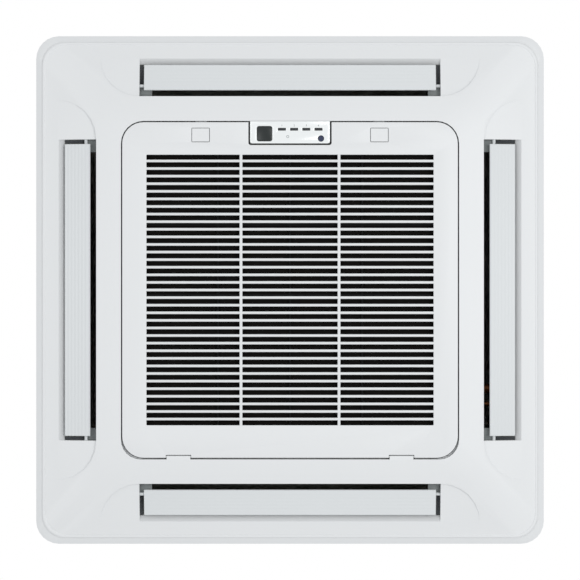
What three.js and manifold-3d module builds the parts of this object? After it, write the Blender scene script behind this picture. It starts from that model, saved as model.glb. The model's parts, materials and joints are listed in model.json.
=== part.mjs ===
// A compact four-way ceiling cassette air conditioner, as a scene graph of named pieces.
// Millimetres, +Z up. The ceiling's underside is the plane z = 0: the panel hangs below it and the
// unit stands in the void above it. The display is on the -Y side and the grille's hinge on the +Y side.
import * as THREE from "three";
import { mergeVertices } from "three/addons/utils/BufferGeometryUtils.js";
import Module from "manifold-3d";

const wasm = await Module();
wasm.setup();

// ---- Driving dimensions ----

// clearances
const SEAT_GAP = 0.3; // between two pieces that touch
const RUNNING_GAP = 0.3; // radial, round a pin or a shaft
const LEAF_GAP = 1.6; // shown round the intake grille
const HINGE_SIDE_GAP = 2.0; // the same gap on the grille's hinge side
const TAB_GAP = 0.6; // round a latch or the button

// intake opening, which the rest is set out from
const LEAF_HALF = 212.2; // half width of the intake grille
const WELL_HALF = LEAF_HALF + LEAF_GAP;
const WELL_WALL = 3;
const WELL_TOP = 18;
const GRILLE_CORNER = 27;
const HINGE_SIDE_CORNER = 25; // the well's corners on the hinge side, where the leaf swings
const GRILLE_DROP = 28; // the grille's face below the ceiling

// panel
const SLOT_FROM_WELL = 31.4;
const SLOT_WIDTH = 48.8; // with its bevel
const SLOT_OUTER = 29.5; // from the panel's edge
const SLOT_INNER = SLOT_OUTER + SLOT_WIDTH;
const PANEL_HALF = WELL_HALF + SLOT_FROM_WELL + SLOT_INNER;
const PANEL_CORNER = 29;
const RIM_EDGE = 2.5; // thickness of the panel's free edge
const BAND_WIDTH = 11.3; // the sloping outer band
const BAND_DROP = 8.6;
const BEAD_WIDTH = 1.8; // the groove between band and face
const BEAD_DEPTH = 1.3;
const FACE_DROP = 25.5; // the plateau's height below the ceiling, beside the slots
const SKIN = 2.5;
const CEILING_SEAT = 26; // width of the rim's flat back
const UPSTAND = 3; // wall that stands up into the ceiling's opening
const UPSTAND_TOP = 12;

// outlet slots, the same on all four sides
const SLOT_BEVEL = 7.2;
const SLOT_HALF_LENGTH = WELL_HALF - 22.8;
const SLOT_WALL = 3;
const STEP_RADIUS = 50; // the arcs that end the sunk region round a slot
const STEP_HEIGHT = 4;

// flaps; distances from the panel's edge
const FLAP_OUTER = SLOT_OUTER + SLOT_BEVEL + 0.7;
const FLAP_INNER = SLOT_INNER - 8;
const FLAP_END_GAP = 5.8;
const FLAP_HALF_LENGTH = SLOT_HALF_LENGTH - FLAP_END_GAP;
const FLAP_THICK = 2.4;
const FLAP_BACK_RIB = 2.6; // extra thickness over the pivot
const FLAP_BEVEL = 0.8; // at the long edges
const FLAP_INSET = 1.0;
const PIVOT_FROM_EDGE = FLAP_INNER - 6;
const PIVOT_RISE = 3.4; // pivot axis over the flap's back
const PIVOT_PIN_R = 2;
const EAR_LENGTH = 5;
const EAR_WALL = 1.6; // round the pivot pin

// outlet liners
const LINER_WALL = 8;
const LINER_LOW_WALL = 5; // its outer wall at the slot
const LINER_TOP_INNER = WELL_HALF + 12.7; // from the centre
const LINER_TOP_OUTER = LINER_TOP_INNER + 35.5;
const LINER_TOP_HALF_LENGTH = SLOT_HALF_LENGTH - 6;

// flap motors
const MOTOR_CAN_R = 12;
const MOTOR_CAN_LENGTH = 18;
const MOTOR_OFFSET = 9; // the can's centre over its shaft
const MOTOR_EAR_HALF = 17;
const MOTOR_EAR_R = 3.5;
const MOTOR_EAR_THICK = 1.2;
const MOTOR_SCREW_R = 1.6;
const MOTOR_PLUG_HALF = 7;
const MOTOR_PLUG_RISE = 3; // over the can

// intake grille
const LEAF_THICK = 2.5;
const LEAF_RIM_WIDTH = 2;
const LEAF_RIM_HEIGHT = 6.5;
const SLAT_PITCH = 9.6;
const SLAT_GAP = 6.1;
const SLAT_FIELD_HALF_X = LEAF_HALF - 30.7;
const SLAT_ROOM_Y = 2 * (LEAF_HALF - 41); // how long the field may be
const SLAT_COUNT = Math.floor((SLAT_ROOM_Y - SLAT_GAP) / SLAT_PITCH);
const SLAT_DEPTH = 8.5;
const SLAT_INSET = 0.3;
const CROSS_BAR_X = 62;
const CROSS_BAR_WIDTH = 3.6;

// grille hinge
const HINGE_X = LEAF_HALF - 71.2;
const HINGE_HALF_WIDTH = 16;
const HINGE_END_GAP = 1; // at a tongue's ends
const HINGE_AXIS_Y = LEAF_HALF - 1.2;
const HINGE_TONGUE_R = 1.6;
const HINGE_AXIS_Z = -GRILLE_DROP + HINGE_TONGUE_R;
const HINGE_PIN_R = 0.8;
const HINGE_PIN_LENGTH = 5;
const KNUCKLE_WIDTH = 6;
const KNUCKLE_TOP = 3; // over the hinge axis
const KNUCKLE_INSET = 1.2; // its front, from the notch's
const HINGE_NOTCH_DEPTH = 3.6; // cut into the leaf's edge for the tongue

// latches
const LATCH_X = LEAF_HALF - 99.2;
const LATCH_Y = -LEAF_HALF + 16.2;
const LATCH_WIDTH = 23;
const LATCH_HEIGHT = 18;
const LATCH_THICK = 2;
const LATCH_ARM_TOP = -13;
const LATCH_ARM_WIDTH = 14;
const LATCH_NOSE_HEIGHT = 2;
const LEDGE_DEPTH = 4.6; // catch on the well's wall
const LEDGE_HEIGHT = 2.4;
const CATCH_CLEARANCE = 0.4;

// display; distances along Y from the cover's front edge
const COVER_FRONT = -WELL_HALF + SEAT_GAP;
const COVER_HALF = 50.5;
const COVER_DEPTH = 28.2;
const COVER_GAP = 2;
const COVER_THICK = 2.2;
const COVER_PROUD = 0.3;
const COVER_CORNER = 3;
const WINDOW_X = -32.2;
const WINDOW_Y = COVER_FRONT + 15.9;
const WINDOW_WIDTH = 19;
const WINDOW_HEIGHT = 18.7;
const WINDOW_CORNER = 2;
const WINDOW_DEPTH = 8;
const LAMP_COUNT = 4;
const FIRST_LAMP_X = -10.2;
const LAMP_PITCH = 15.4;
const LAMP_Y = COVER_FRONT + 10.3;
const LAMP_WIDTH = 9.4;
const LAMP_HEIGHT = 2.7;
const LAMP_CORNER = 0.5;
const LIGHT_BAR_MARGIN = 3; // round the lamps
const LIGHT_BAR_THICK = 3;
const BUTTON_X = 39.2;
const BUTTON_Y = COVER_FRONT + 22;
const BUTTON_R = 3.3;
const BUTTON_CROWN = 0.2; // proud of the cover
const BUTTON_FLANGE_R = 4;
const BUTTON_STEM_R = 1.6;
const BUTTON_TRAVEL = 1;
const HOUSING_TOP = -8;
const HOUSING_WALL = 1.6;
const HOUSING_INSET = 0.4; // from the cover's edge
const HOUSING_POST_R = 3;
const BOARD_THICK = 1.6;
const BOARD_Z = -14; // underside of the display board

// filter
const FILTER_HALF_X = SLAT_FIELD_HALF_X + 8.5;
const FILTER_FRONT = COVER_FRONT + COVER_DEPTH + 7.3;
const FILTER_BACK = WELL_HALF - 23.8;
const FILTER_FRAME_WIDTH = 8;
const FILTER_CORNER = 6;
const FILTER_THICK = 4;
const FILTER_NET_THICK = 0.8;
const FILTER_NET_INSET = 3;
const FILTER_RIB = 2.4;
const FILTER_CELLS = 4;

// casing
const CASING_HALF = LINER_TOP_OUTER + 23;
const CASING_CHAMFER = 70;
const CASING_BOTTOM = 22;
const CASING_TOP = 282;
const SHEET = 1.2;
const RIB_RISE = 4;
const RIB_WIDTH = 14;
const RIB_RING_R = 150;
const RIB_REACH = CASING_HALF - 35;
const FOAM_WALL = 15;
const FOAM_TOP = 12;
const FOAM_MOTOR_HOLE_R = 92;

// drain pan
const PAN_HEIGHT = 42;
const TROUGH_FLOOR = 12; // over the pan's underside
const TROUGH_OUTER = LINER_TOP_INNER - 12.5;
const TROUGH_INNER = TROUGH_OUTER - 46;
const TROUGH_CORNER = 30;
const TROUGH_INNER_CORNER = 10;
const PAN_BORE_R = TROUGH_INNER - 18;
const PAN_RIB_X = 100;
const PAN_RIB_HEIGHT = 4;
const PAN_RIB_WIDTH = 10;

// heat exchanger
const COIL_HALF = TROUGH_OUTER - 8;
const COIL_THICK = 30;
const COIL_CORNER = 60;
const COIL_TOP = 250;
const COIL_OPEN_CORNER = COIL_HALF - 88; // the ring is left out beyond this X and this Y
const END_PLATE_THICK = 1.5;

// fan
const FAN_R = COIL_HALF - COIL_THICK - 21;
const FAN_SHROUD_R = FAN_R - 22;
const FAN_SHROUD_Z = 62;
const FAN_SHROUD_RISE = 24;
const FAN_BACK_Z = 196;
const FAN_SKIN = 2.5;
const FAN_HUB_Z = 140;
const FAN_HUB_R = 62;
const FAN_CONE_R = 96; // where the hub's cone meets the back plate
const FAN_BOSS_R = 17;
const FAN_BOSS_HEIGHT = 22;
const BLADE_COUNT = 7;
const BLADE_INNER_R = FAN_R - 51;
const BLADE_THICK = 2.6;
const BLADE_LEAN = 0.62; // how far a blade runs round the fan, in radians
const BLADE_STEPS = 6;

// bell mouth
const BELL_FLANGE_R = PAN_BORE_R + 25;
const BELL_FLANGE_THICK = 2.2;
const BELL_THROAT_R = FAN_SHROUD_R - 8;
const BELL_FLARE = 8; // how much wider the throat is half way down
const BELL_WALL = 2.2;
const BELL_TOP = 72;
const BELL_STRAIGHT = 10; // the throat's upright end
const BELL_LIP = 4; // from the pan's bore to the mouth

// fan motor
const SHAFT_R = 5;
const SHAFT_BELOW_HUB = 12;
const SHAFT_IN_MOTOR = 20;
const NUT_ACROSS_CORNERS = 19;
const NUT_HEIGHT = 8;
const MOTOR_R = 56;
const MOTOR_NECK_R = 18;
const MOTOR_SHOULDER = 6;
const MOTOR_BOTTOM = 168;
const MOTOR_BODY_TOP = 262;
const MOUNT_R = 76;
const MOUNT_THICK = 2;
const MOUNT_POST_R = 8;

// pipes
const GAS_PIPE_R = 6.35;
const GAS_HEADER_R = 9.5;
const GAS_Y = COIL_OPEN_CORNER + 14;
const GAS_Z = 150;
const LIQUID_PIPE_R = 3.175;
const LIQUID_HEADER_R = 6;
const LIQUID_Y = GAS_Y + 19;
const LIQUID_Z = 122;
const HEADER_X = COIL_HALF - COIL_THICK / 2;
const HEADER_BOTTOM = 52;
const HEADER_TOP = 236;
const FEED_HALF = 4; // the branch from the gas header to the end plate
const PIPE_WALL = 1;
const PIPE_BORE_LENGTH = 60;
const STUB_END = CASING_HALF + 35;
const FLARE_NUT_LENGTH = 18;
const FLARE_NUT_SETBACK = 2;
const GAS_NUT_R = 13.8;
const LIQUID_NUT_R = 9.8;
const PIPE_PLATE_HALF_Y = 34;
const PIPE_PLATE_HALF_Z = 44;
const PIPE_HOLE_MARGIN = 8;

// drain lift
const PUMP_X = TROUGH_OUTER - 27;
const PUMP_Y = TROUGH_OUTER - 27;
const PUMP_R = 25;
const PUMP_BOTTOM = 92;
const PUMP_TOP = 150;
const PUMP_CUP_R = 14;
const PUMP_CUP_WALL = 1.8;
const PUMP_CUP_BOTTOM = 38;
const PUMP_ARM_RISE = 14; // over the pump's underside
const PUMP_ARM_WIDTH = 20;
const PUMP_ARM_THICK = 3;
const IMPELLER_R = 10.5;
const IMPELLER_HUB_R = 4.5;
const IMPELLER_HEIGHT = 12;
const IMPELLER_GAP = 2; // over the cup's mouth
const IMPELLER_SHAFT_R = 2;
const IMPELLER_SHAFT_TOP = 8; // inside the pump's motor
const VANE_THICK = 1.6;
const DRAIN_R = 12.5;
const DRAIN_WALL = 2.5;
const DRAIN_Z = 222;
const DRAIN_BEND = 26;
const BEND_STEPS = 8;
const FLOAT_X = PUMP_X - 38;
const FLOAT_Y = PUMP_Y;
const FLOAT_ARM_HALF = 5;
const FLOAT_STEM_R = 3;
const FLOAT_STOP_R = 6;
const FLOAT_STOP_HEIGHT = 4;
const FLOAT_HEAD_HEIGHT = 12;
const FLOAT_R = 9;
const FLOAT_HEIGHT = 14;
const FLOAT_OVER_TROUGH = 8;

// hangers, on the usual rod spacing for this casing
const HANGER_SPAN_X = 2 * CASING_HALF - 25;
const HANGER_SPAN_Y = 2 * CASING_HALF - 47;
const HANGER_Z = 100;
const HANGER_THICK = 3;
const HANGER_HALF_WIDTH = 26;
const HANGER_FLANGE = 40;
const HANGER_SLOT_WIDTH = 12;
const HANGER_SLOT_LENGTH = 22;
const HANGER_MARGIN = 12;

// panel fixing
const BOLT_XY = WELL_HALF - 18.8;
const GUSSET_SUM = 2 * BOLT_XY - 24; // the gusset fills the well's corner beyond x + y = this
const GUSSET_BOTTOM = 8;
const GUSSET_THICK = 4;
const BOLT_R = 2.5;
const BOLT_HEAD_R = 6;
const BOLT_HEAD_HEIGHT = 4.5;
const BOLT_REACH = 9; // into the drain pan

// electrics, in the intake well
const BOX_X1 = WELL_HALF - 6.8;
const BOX_X0 = BOX_X1 - 55;
const BOX_HALF_Y = GUSSET_SUM - BOX_X1 - 9;
const BOX_BOTTOM = -8;
const BOX_WALL = 1.5;
const BOX_LID_LAP = 2;
const RELAY_COUNT = 3;
const RELAY_PITCH = 30;
const RELAY_WIDTH = 16;
const RELAY_LENGTH = 18;
const RELAY_HEIGHT = 12;
const TERMINAL_HALF_X = 12;
const TERMINAL_HALF_Y = 30;
const TERMINAL_HEIGHT = 14;
const TERMINAL_END_GAP = 5;
const TERMINAL_POLES = 5;
const POLE_HALF_X = 9;
const POLE_HALF_Y = 4;
const POLE_DEPTH = 5;

// fresh-air knock-out
const FRESH_X = -120;
const FRESH_Z = 170;
const FRESH_HOLE_R = 32.5;
const FRESH_COVER_R = 40;

// how round things are
const CORNER_STEPS = 6;
const SMALL_STEPS = 2;
const PIN_SIDES = 12;
const ROUND_SIDES = 24;
const WIDE_SIDES = 36;

// how far a cutting tool runs past what it cuts
const OVERCUT = 1;

// ---- Heights and places worked out from them ----

const LEAF_BACK = -GRILLE_DROP + LEAF_THICK;
const LEAF_RIM_TOP = LEAF_BACK + LEAF_RIM_HEIGHT;
const SLAT_TOP = -GRILLE_DROP + SLAT_INSET + SLAT_DEPTH;
const SLAT_FIELD_HALF_Y = (SLAT_COUNT * SLAT_PITCH + SLAT_GAP) / 2;
const FILTER_BOTTOM = SLAT_TOP + SEAT_GAP;
const SEAL_TOP = CASING_BOTTOM - SEAT_GAP;
const SEAL_BOTTOM = WELL_TOP + SEAT_GAP;
const PAN_TOP = CASING_BOTTOM + PAN_HEIGHT;
const TROUGH_Z = CASING_BOTTOM + TROUGH_FLOOR;
const COIL_BOTTOM = TROUGH_Z + PAN_RIB_HEIGHT + SEAT_GAP;
const PUMP_ARM_Z = PUMP_BOTTOM + PUMP_ARM_RISE;
const FLOAT_LOW = TROUGH_Z + FLOAT_OVER_TROUGH;
const SHEET_TOP = CASING_TOP - RIB_RISE;
const ROOF = SHEET_TOP - SHEET; // underside of the casing's top sheet
const FOAM_OUTER = CASING_HALF - SHEET - SEAT_GAP;
const FOAM_INNER = FOAM_OUTER - FOAM_WALL;
const BEAD_END = BAND_WIDTH + BEAD_WIDTH;
const FACE_SLOPE = (FACE_DROP - BAND_DROP) / (SLOT_INNER - BEAD_END);
const STEP_START = SLOT_INNER - STEP_RADIUS;
const COVER_FACE = -GRILLE_DROP - COVER_PROUD;
const COVER_TOP = COVER_FACE + COVER_THICK;
const LATCH_PIVOT_Y = LATCH_Y + LATCH_HEIGHT / 2 - TAB_GAP;
const LATCH_PIVOT_Z = LEAF_BACK;
const BOX_TOP = CASING_BOTTOM - 2 * SEAT_GAP - BELL_FLANGE_THICK;

/** Height of the panel's face at a distance from the panel's edge. */
function faceHeight(fromEdge) {
  return -BAND_DROP - FACE_SLOPE * (fromEdge - BEAD_END);
}

const SUNK_SLOPE = (faceHeight(STEP_START) - STEP_HEIGHT + FACE_DROP) / STEP_RADIUS;

/** Height of the sunk region round a slot at a distance from the panel's edge. */
function sunkHeight(fromEdge) {
  return faceHeight(STEP_START) - SUNK_SLOPE * (fromEdge - STEP_START);
}

const FLAP_FACE_AT_PIVOT = sunkHeight(PIVOT_FROM_EDGE) + FLAP_INSET;
const PIVOT_Y = PIVOT_FROM_EDGE - PANEL_HALF;
const PIVOT_Z = FLAP_FACE_AT_PIVOT + FLAP_THICK + PIVOT_RISE;

// ---- Materials ----

/** A material with a colour, a roughness and a metalness. */
function finish(color, roughness, metalness = 0) {
  return new THREE.MeshStandardMaterial({ color, roughness, metalness });
}

const WHITE_PLASTIC = finish(0xe3e5e6, 0.45);
const GLOSS_WHITE = finish(0xeff3f3, 0.2);
const GREY_PLASTIC = finish(0xb9bdbe, 0.5);
const DARK_LENS = finish(0x383d3d, 0.15);
const LAMP_LENS = finish(0x4b5254, 0.3);
const BUTTON_BLUE = finish(0x2b3a55, 0.4);
const BOARD_GREEN = finish(0x2d6a45, 0.6);
const FOAM_WHITE = finish(0xf0f0ec, 0.9);
const SEAL_GREY = finish(0x4a4c4e, 0.95);
const FILTER_GREY = finish(0x3a3836, 0.8);
const FRAME_GREY = finish(0x55585a, 0.6);
const ZINC_SHEET = finish(0xb4b8ba, 0.4, 0.8);
const STEEL = finish(0x9a9d9f, 0.35, 0.9);
const BLACK_PLASTIC = finish(0x1f2022, 0.5);
const MOTOR_GREY = finish(0x6f7376, 0.5, 0.6);
const FIN_ALUMINIUM = finish(0xc5cacd, 0.4, 0.7);
const COPPER = finish(0xb87049, 0.35, 0.9);
const BRASS = finish(0xc5a353, 0.35, 0.9);
const WHITE_PIPE = finish(0xd8dad8, 0.5);
const FLOAT_BLUE = finish(0x5d7f9e, 0.6);

// ---- Shape tools ----

/** A closed three.js geometry as a solid. */
function solid(geometry) {
  const bare = geometry.index ? geometry.toNonIndexed() : geometry;
  const points = new THREE.BufferGeometry();
  points.setAttribute("position", bare.getAttribute("position"));
  const merged = mergeVertices(points, 1e-4);
  const mesh = new wasm.Mesh({
    numProp: 3,
    vertProperties: merged.attributes.position.array,
    triVerts: new Uint32Array(merged.index.array),
  });
  return new wasm.Manifold(mesh);
}

/** A solid as a geometry that a THREE.Mesh can show. */
function geometryOf(body) {
  const mesh = body.getMesh();
  const geometry = new THREE.BufferGeometry();
  geometry.setAttribute("position", new THREE.BufferAttribute(mesh.vertProperties, 3));
  geometry.setIndex(new THREE.BufferAttribute(mesh.triVerts, 1));
  const flat = geometry.toNonIndexed();
  flat.computeVertexNormals();
  return flat;
}

/** Several solids joined into one. */
function join(...bodies) {
  return bodies.reduce((sum, body) => sum.add(body));
}

/** A solid with several others cut out of it. */
function cut(body, ...tools) {
  return tools.reduce((rest, tool) => rest.subtract(tool), body);
}

/** A box between two corners. */
function box(x0, x1, y0, y1, z0, z1) {
  const geometry = new THREE.BoxGeometry(x1 - x0, y1 - y0, z1 - z0);
  geometry.translate((x0 + x1) / 2, (y0 + y1) / 2, (z0 + z1) / 2);
  return solid(geometry);
}

/** A flat outline raised from z0 to z1. */
function slab(shape, z0, z1, steps = CORNER_STEPS) {
  // an arc of a shape is drawn with twice its curve segments
  const options = { depth: z1 - z0, bevelEnabled: false, curveSegments: steps / 2 };
  const geometry = new THREE.ExtrudeGeometry(shape, options);
  geometry.translate(0, 0, z0);
  return solid(geometry);
}

/** A closed outline from [x, y] pairs. */
function outline(points) {
  return new THREE.Shape(points.map(([x, y]) => new THREE.Vector2(x, y)));
}

/** A prism along X whose section is a list of [y, z] pairs. */
function prismAlongX(section, x0, x1) {
  const options = { depth: x1 - x0, bevelEnabled: false };
  const geometry = new THREE.ExtrudeGeometry(outline(section), options);
  geometry.translate(0, 0, x0);
  const turn = new THREE.Matrix4().makeBasis(
    new THREE.Vector3(0, 1, 0),
    new THREE.Vector3(0, 0, 1),
    new THREE.Vector3(1, 0, 0),
  );
  geometry.applyMatrix4(turn);
  return solid(geometry);
}

/** A rectangle with rounded corners, centred on a point. */
function roundedRectangle(halfX, halfY, radius, cx = 0, cy = 0) {
  const shape = new THREE.Shape();
  shape.moveTo(cx - halfX + radius, cy - halfY);
  shape.lineTo(cx + halfX - radius, cy - halfY);
  shape.absarc(cx + halfX - radius, cy - halfY + radius, radius, -Math.PI / 2, 0);
  shape.lineTo(cx + halfX, cy + halfY - radius);
  shape.absarc(cx + halfX - radius, cy + halfY - radius, radius, 0, Math.PI / 2);
  shape.lineTo(cx - halfX + radius, cy + halfY);
  shape.absarc(cx - halfX + radius, cy + halfY - radius, radius, Math.PI / 2, Math.PI);
  shape.lineTo(cx - halfX, cy - halfY + radius);
  shape.absarc(cx - halfX + radius, cy - halfY + radius, radius, Math.PI, Math.PI * 1.5);
  return shape;
}

/** A square with chamfered corners. */
function octagon(half, chamfer) {
  const short = half - chamfer;
  return outline([
    [-short, -half],
    [short, -half],
    [half, -short],
    [half, short],
    [short, half],
    [-short, half],
    [-half, short],
    [-half, -short],
  ]);
}

/** The chamfer of an inner octagon that keeps an even wall inside an outer one. */
function insetChamfer(chamfer, inset) {
  return chamfer - inset * (2 - Math.SQRT2);
}

/** An octagonal prism set in from the casing's outside. */
function casingPrism(half, z0, z1) {
  return slab(octagon(half, insetChamfer(CASING_CHAMFER, CASING_HALF - half)), z0, z1);
}

/** A solid through rings of points: each ring lies flat at its own height, from low to high. */
function loft(rings) {
  const count = rings[0].length;
  const positions = rings.flat(2);
  const faces = [];
  for (let ring = 0; ring + 1 < rings.length; ring++) {
    for (let i = 0; i < count; i++) {
      const a = ring * count + i;
      const b = ring * count + ((i + 1) % count);
      faces.push(a, b, b + count, a, b + count, a + count);
    }
  }
  const top = (rings.length - 1) * count;
  for (let i = 1; i + 1 < count; i++) {
    faces.push(0, i + 1, i, top, top + i, top + i + 1);
  }
  const geometry = new THREE.BufferGeometry();
  geometry.setAttribute("position", new THREE.Float32BufferAttribute(positions, 3));
  geometry.setIndex(faces);
  return solid(geometry);
}

/** Points round a square with rounded corners, at one height. */
function squareRing(half, radius, z) {
  const points = [];
  for (let corner = 0; corner < 4; corner++) {
    const middle = Math.PI / 4 + (corner * Math.PI) / 2;
    const cx = Math.sign(Math.cos(middle)) * (half - radius);
    const cy = Math.sign(Math.sin(middle)) * (half - radius);
    for (let step = 0; step <= CORNER_STEPS; step++) {
      const angle = middle - Math.PI / 4 + (step * Math.PI) / (2 * CORNER_STEPS);
      points.push([cx + radius * Math.cos(angle), cy + radius * Math.sin(angle), z]);
    }
  }
  return points;
}

/** Corners of a rectangle, at one height. */
function rectangleRing(x0, x1, y0, y1, z) {
  return [
    [x0, y0, z],
    [x1, y0, z],
    [x1, y1, z],
    [x0, y1, z],
  ];
}

/** A round solid from a profile of [radius, z] pairs, turned about Z. */
function turned(profile, sides = ROUND_SIDES) {
  const closed = [...profile, profile[0]].map(([r, z]) => new THREE.Vector2(r, z));
  const geometry = new THREE.LatheGeometry(closed, sides);
  geometry.rotateX(Math.PI / 2);
  return solid(geometry);
}

/** An upright cylinder. */
function cylinder(x, y, radius, z0, z1, sides = ROUND_SIDES) {
  const geometry = new THREE.CylinderGeometry(radius, radius, z1 - z0, sides);
  geometry.rotateX(Math.PI / 2);
  geometry.translate(x, y, (z0 + z1) / 2);
  return solid(geometry);
}

/** A cylinder along X. */
function rodAlongX(y, z, radius, x0, x1, sides = ROUND_SIDES) {
  const geometry = new THREE.CylinderGeometry(radius, radius, x1 - x0, sides);
  geometry.rotateZ(-Math.PI / 2);
  geometry.translate((x0 + x1) / 2, y, z);
  return solid(geometry);
}

/** A named mesh, at the origin of whatever group it joins. */
function piece(name, body, material) {
  const mesh = new THREE.Mesh(geometryOf(body), material);
  mesh.name = name;
  return mesh;
}

/** A body turned about Z by quarter turns. */
function quarterTurn(body, quarters) {
  return body.rotate([0, 0, 90 * quarters]);
}

// The four sides in order of quarter turns from the front.
const SIDES = ["front", "right", "rear", "left"];

// ---- Panel ----

/** The whole space under the panel's skin line, solid, with its back flat at the ceiling. */
function panelBlock() {
  const rings = [
    squareRing(WELL_HALF, GRILLE_CORNER, -GRILLE_DROP),
    squareRing(PANEL_HALF - SLOT_INNER, PANEL_CORNER, -FACE_DROP),
    squareRing(PANEL_HALF - BEAD_END, PANEL_CORNER, -BAND_DROP),
    squareRing(PANEL_HALF - BAND_WIDTH - BEAD_WIDTH / 2, PANEL_CORNER, -BAND_DROP + BEAD_DEPTH),
  ];
  const face = loft([...rings, squareRing(PANEL_HALF - BAND_WIDTH - BEAD_WIDTH / 2, PANEL_CORNER, 0)]);
  const band = loft([
    squareRing(PANEL_HALF - BAND_WIDTH, PANEL_CORNER, -BAND_DROP),
    squareRing(PANEL_HALF, PANEL_CORNER, -RIM_EDGE),
    squareRing(PANEL_HALF, PANEL_CORNER, 0),
  ]);
  const seat = PANEL_HALF - CEILING_SEAT;
  const upstand = slab(roundedRectangle(seat, seat, PANEL_CORNER), -RIM_EDGE, UPSTAND_TOP);
  const well = WELL_HALF + WELL_WALL;
  const tower = slab(roundedRectangle(well, well, GRILLE_CORNER + WELL_WALL), -FACE_DROP, WELL_TOP);
  return join(face, band, upstand, tower);
}

/** The hollow behind the panel's skin, between the upstand and the well's wall. */
function panelHollow() {
  const outer = PANEL_HALF - CEILING_SEAT - UPSTAND;
  const inner = WELL_HALF + WELL_WALL;
  const above = WELL_TOP + 10;
  const bowl = loft([
    squareRing(inner, GRILLE_CORNER, -GRILLE_DROP + SKIN),
    squareRing(PANEL_HALF - SLOT_INNER, PANEL_CORNER, -FACE_DROP + STEP_HEIGHT + SKIN),
    squareRing(outer, PANEL_CORNER, sunkHeight(PANEL_HALF - outer) + SKIN),
    squareRing(outer, PANEL_CORNER, above),
  ]);
  const core = slab(
    roundedRectangle(inner, inner, GRILLE_CORNER + WELL_WALL),
    -GRILLE_DROP - 1,
    above + 1,
  );
  return cut(bowl, core);
}

/** The wall round one slot, on the front side, as a solid block. */
function slotWall() {
  const lipY = -PANEL_HALF + SLOT_OUTER - SLOT_WALL;
  const lipZ = sunkHeight(SLOT_OUTER) + SKIN / 2;
  const outer = -PANEL_HALF + SLOT_OUTER + SLOT_BEVEL - SLOT_WALL;
  const inner = -PANEL_HALF + SLOT_INNER + SLOT_WALL;
  const section = [
    [lipY, lipZ],
    [inner, sunkHeight(SLOT_INNER + SLOT_WALL) + SKIN / 2],
    [inner, 0],
    [outer, 0],
    [lipY, lipZ + SKIN],
  ];
  const reach = SLOT_HALF_LENGTH + SLOT_WALL;
  return prismAlongX(section, -reach, reach);
}

/** The opening of one slot: bevelled on the outer side, upright on the others. */
function slotOpening() {
  const lipY = -PANEL_HALF + SLOT_OUTER;
  const lipZ = sunkHeight(SLOT_OUTER);
  const below = lipZ + GRILLE_DROP + 5 * OVERCUT;
  const section = [
    [lipY - below, lipZ - below],
    [-PANEL_HALF + SLOT_INNER, lipZ - below],
    [-PANEL_HALF + SLOT_INNER, WELL_TOP],
    [lipY + SLOT_BEVEL, WELL_TOP],
    [lipY + SLOT_BEVEL, lipZ + SLOT_BEVEL],
  ];
  return prismAlongX(section, -SLOT_HALF_LENGTH, SLOT_HALF_LENGTH);
}

/** The sunk region round one slot, as the material to take away. */
function sunkRegion() {
  const centreY = -PANEL_HALF + STEP_START;
  const shape = new THREE.Shape();
  shape.moveTo(-SLOT_HALF_LENGTH - STEP_RADIUS, centreY);
  shape.lineTo(SLOT_HALF_LENGTH + STEP_RADIUS, centreY);
  shape.absarc(SLOT_HALF_LENGTH, centreY, STEP_RADIUS, 0, Math.PI / 2);
  shape.absarc(-SLOT_HALF_LENGTH, centreY, STEP_RADIUS, Math.PI / 2, Math.PI);
  const low = -GRILLE_DROP - OVERCUT;
  const region = slab(shape, low, 0);
  const reach = SLOT_HALF_LENGTH + STEP_RADIUS + OVERCUT;
  const innerY = -PANEL_HALF + SLOT_INNER + OVERCUT;
  const under = [
    [centreY - OVERCUT, low - OVERCUT],
    [innerY, low - OVERCUT],
    [innerY, sunkHeight(SLOT_INNER + OVERCUT)],
    [centreY - OVERCUT, sunkHeight(STEP_START - OVERCUT)],
  ];
  return region.intersect(prismAlongX(under, -reach, reach));
}

/** The outline of the grille's leaf, with the notch for the display, set in by an amount. */
function leafOutline(inset) {
  const half = LEAF_HALF - inset;
  const radius = GRILLE_CORNER - inset;
  const notch = COVER_HALF + COVER_GAP + inset;
  const floor = COVER_FRONT + COVER_DEPTH + COVER_GAP + inset;
  const corner = COVER_CORNER;
  const shape = new THREE.Shape();
  shape.moveTo(-half + radius, -half);
  shape.lineTo(-notch, -half);
  shape.lineTo(-notch, floor - corner);
  shape.absarc(-notch + corner, floor - corner, corner, Math.PI, Math.PI / 2, true);
  shape.lineTo(notch - corner, floor);
  shape.absarc(notch - corner, floor - corner, corner, Math.PI / 2, 0, true);
  shape.lineTo(notch, -half);
  shape.lineTo(half - radius, -half);
  shape.absarc(half - radius, -half + radius, radius, -Math.PI / 2, 0);
  shape.lineTo(half, half - radius);
  shape.absarc(half - radius, half - radius, radius, 0, Math.PI / 2);
  shape.lineTo(-half + radius, half);
  shape.absarc(-half + radius, half - radius, radius, Math.PI / 2, Math.PI);
  shape.lineTo(-half, -half + radius);
  shape.absarc(-half + radius, -half + radius, radius, Math.PI, Math.PI * 1.5);
  return shape;
}

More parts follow.
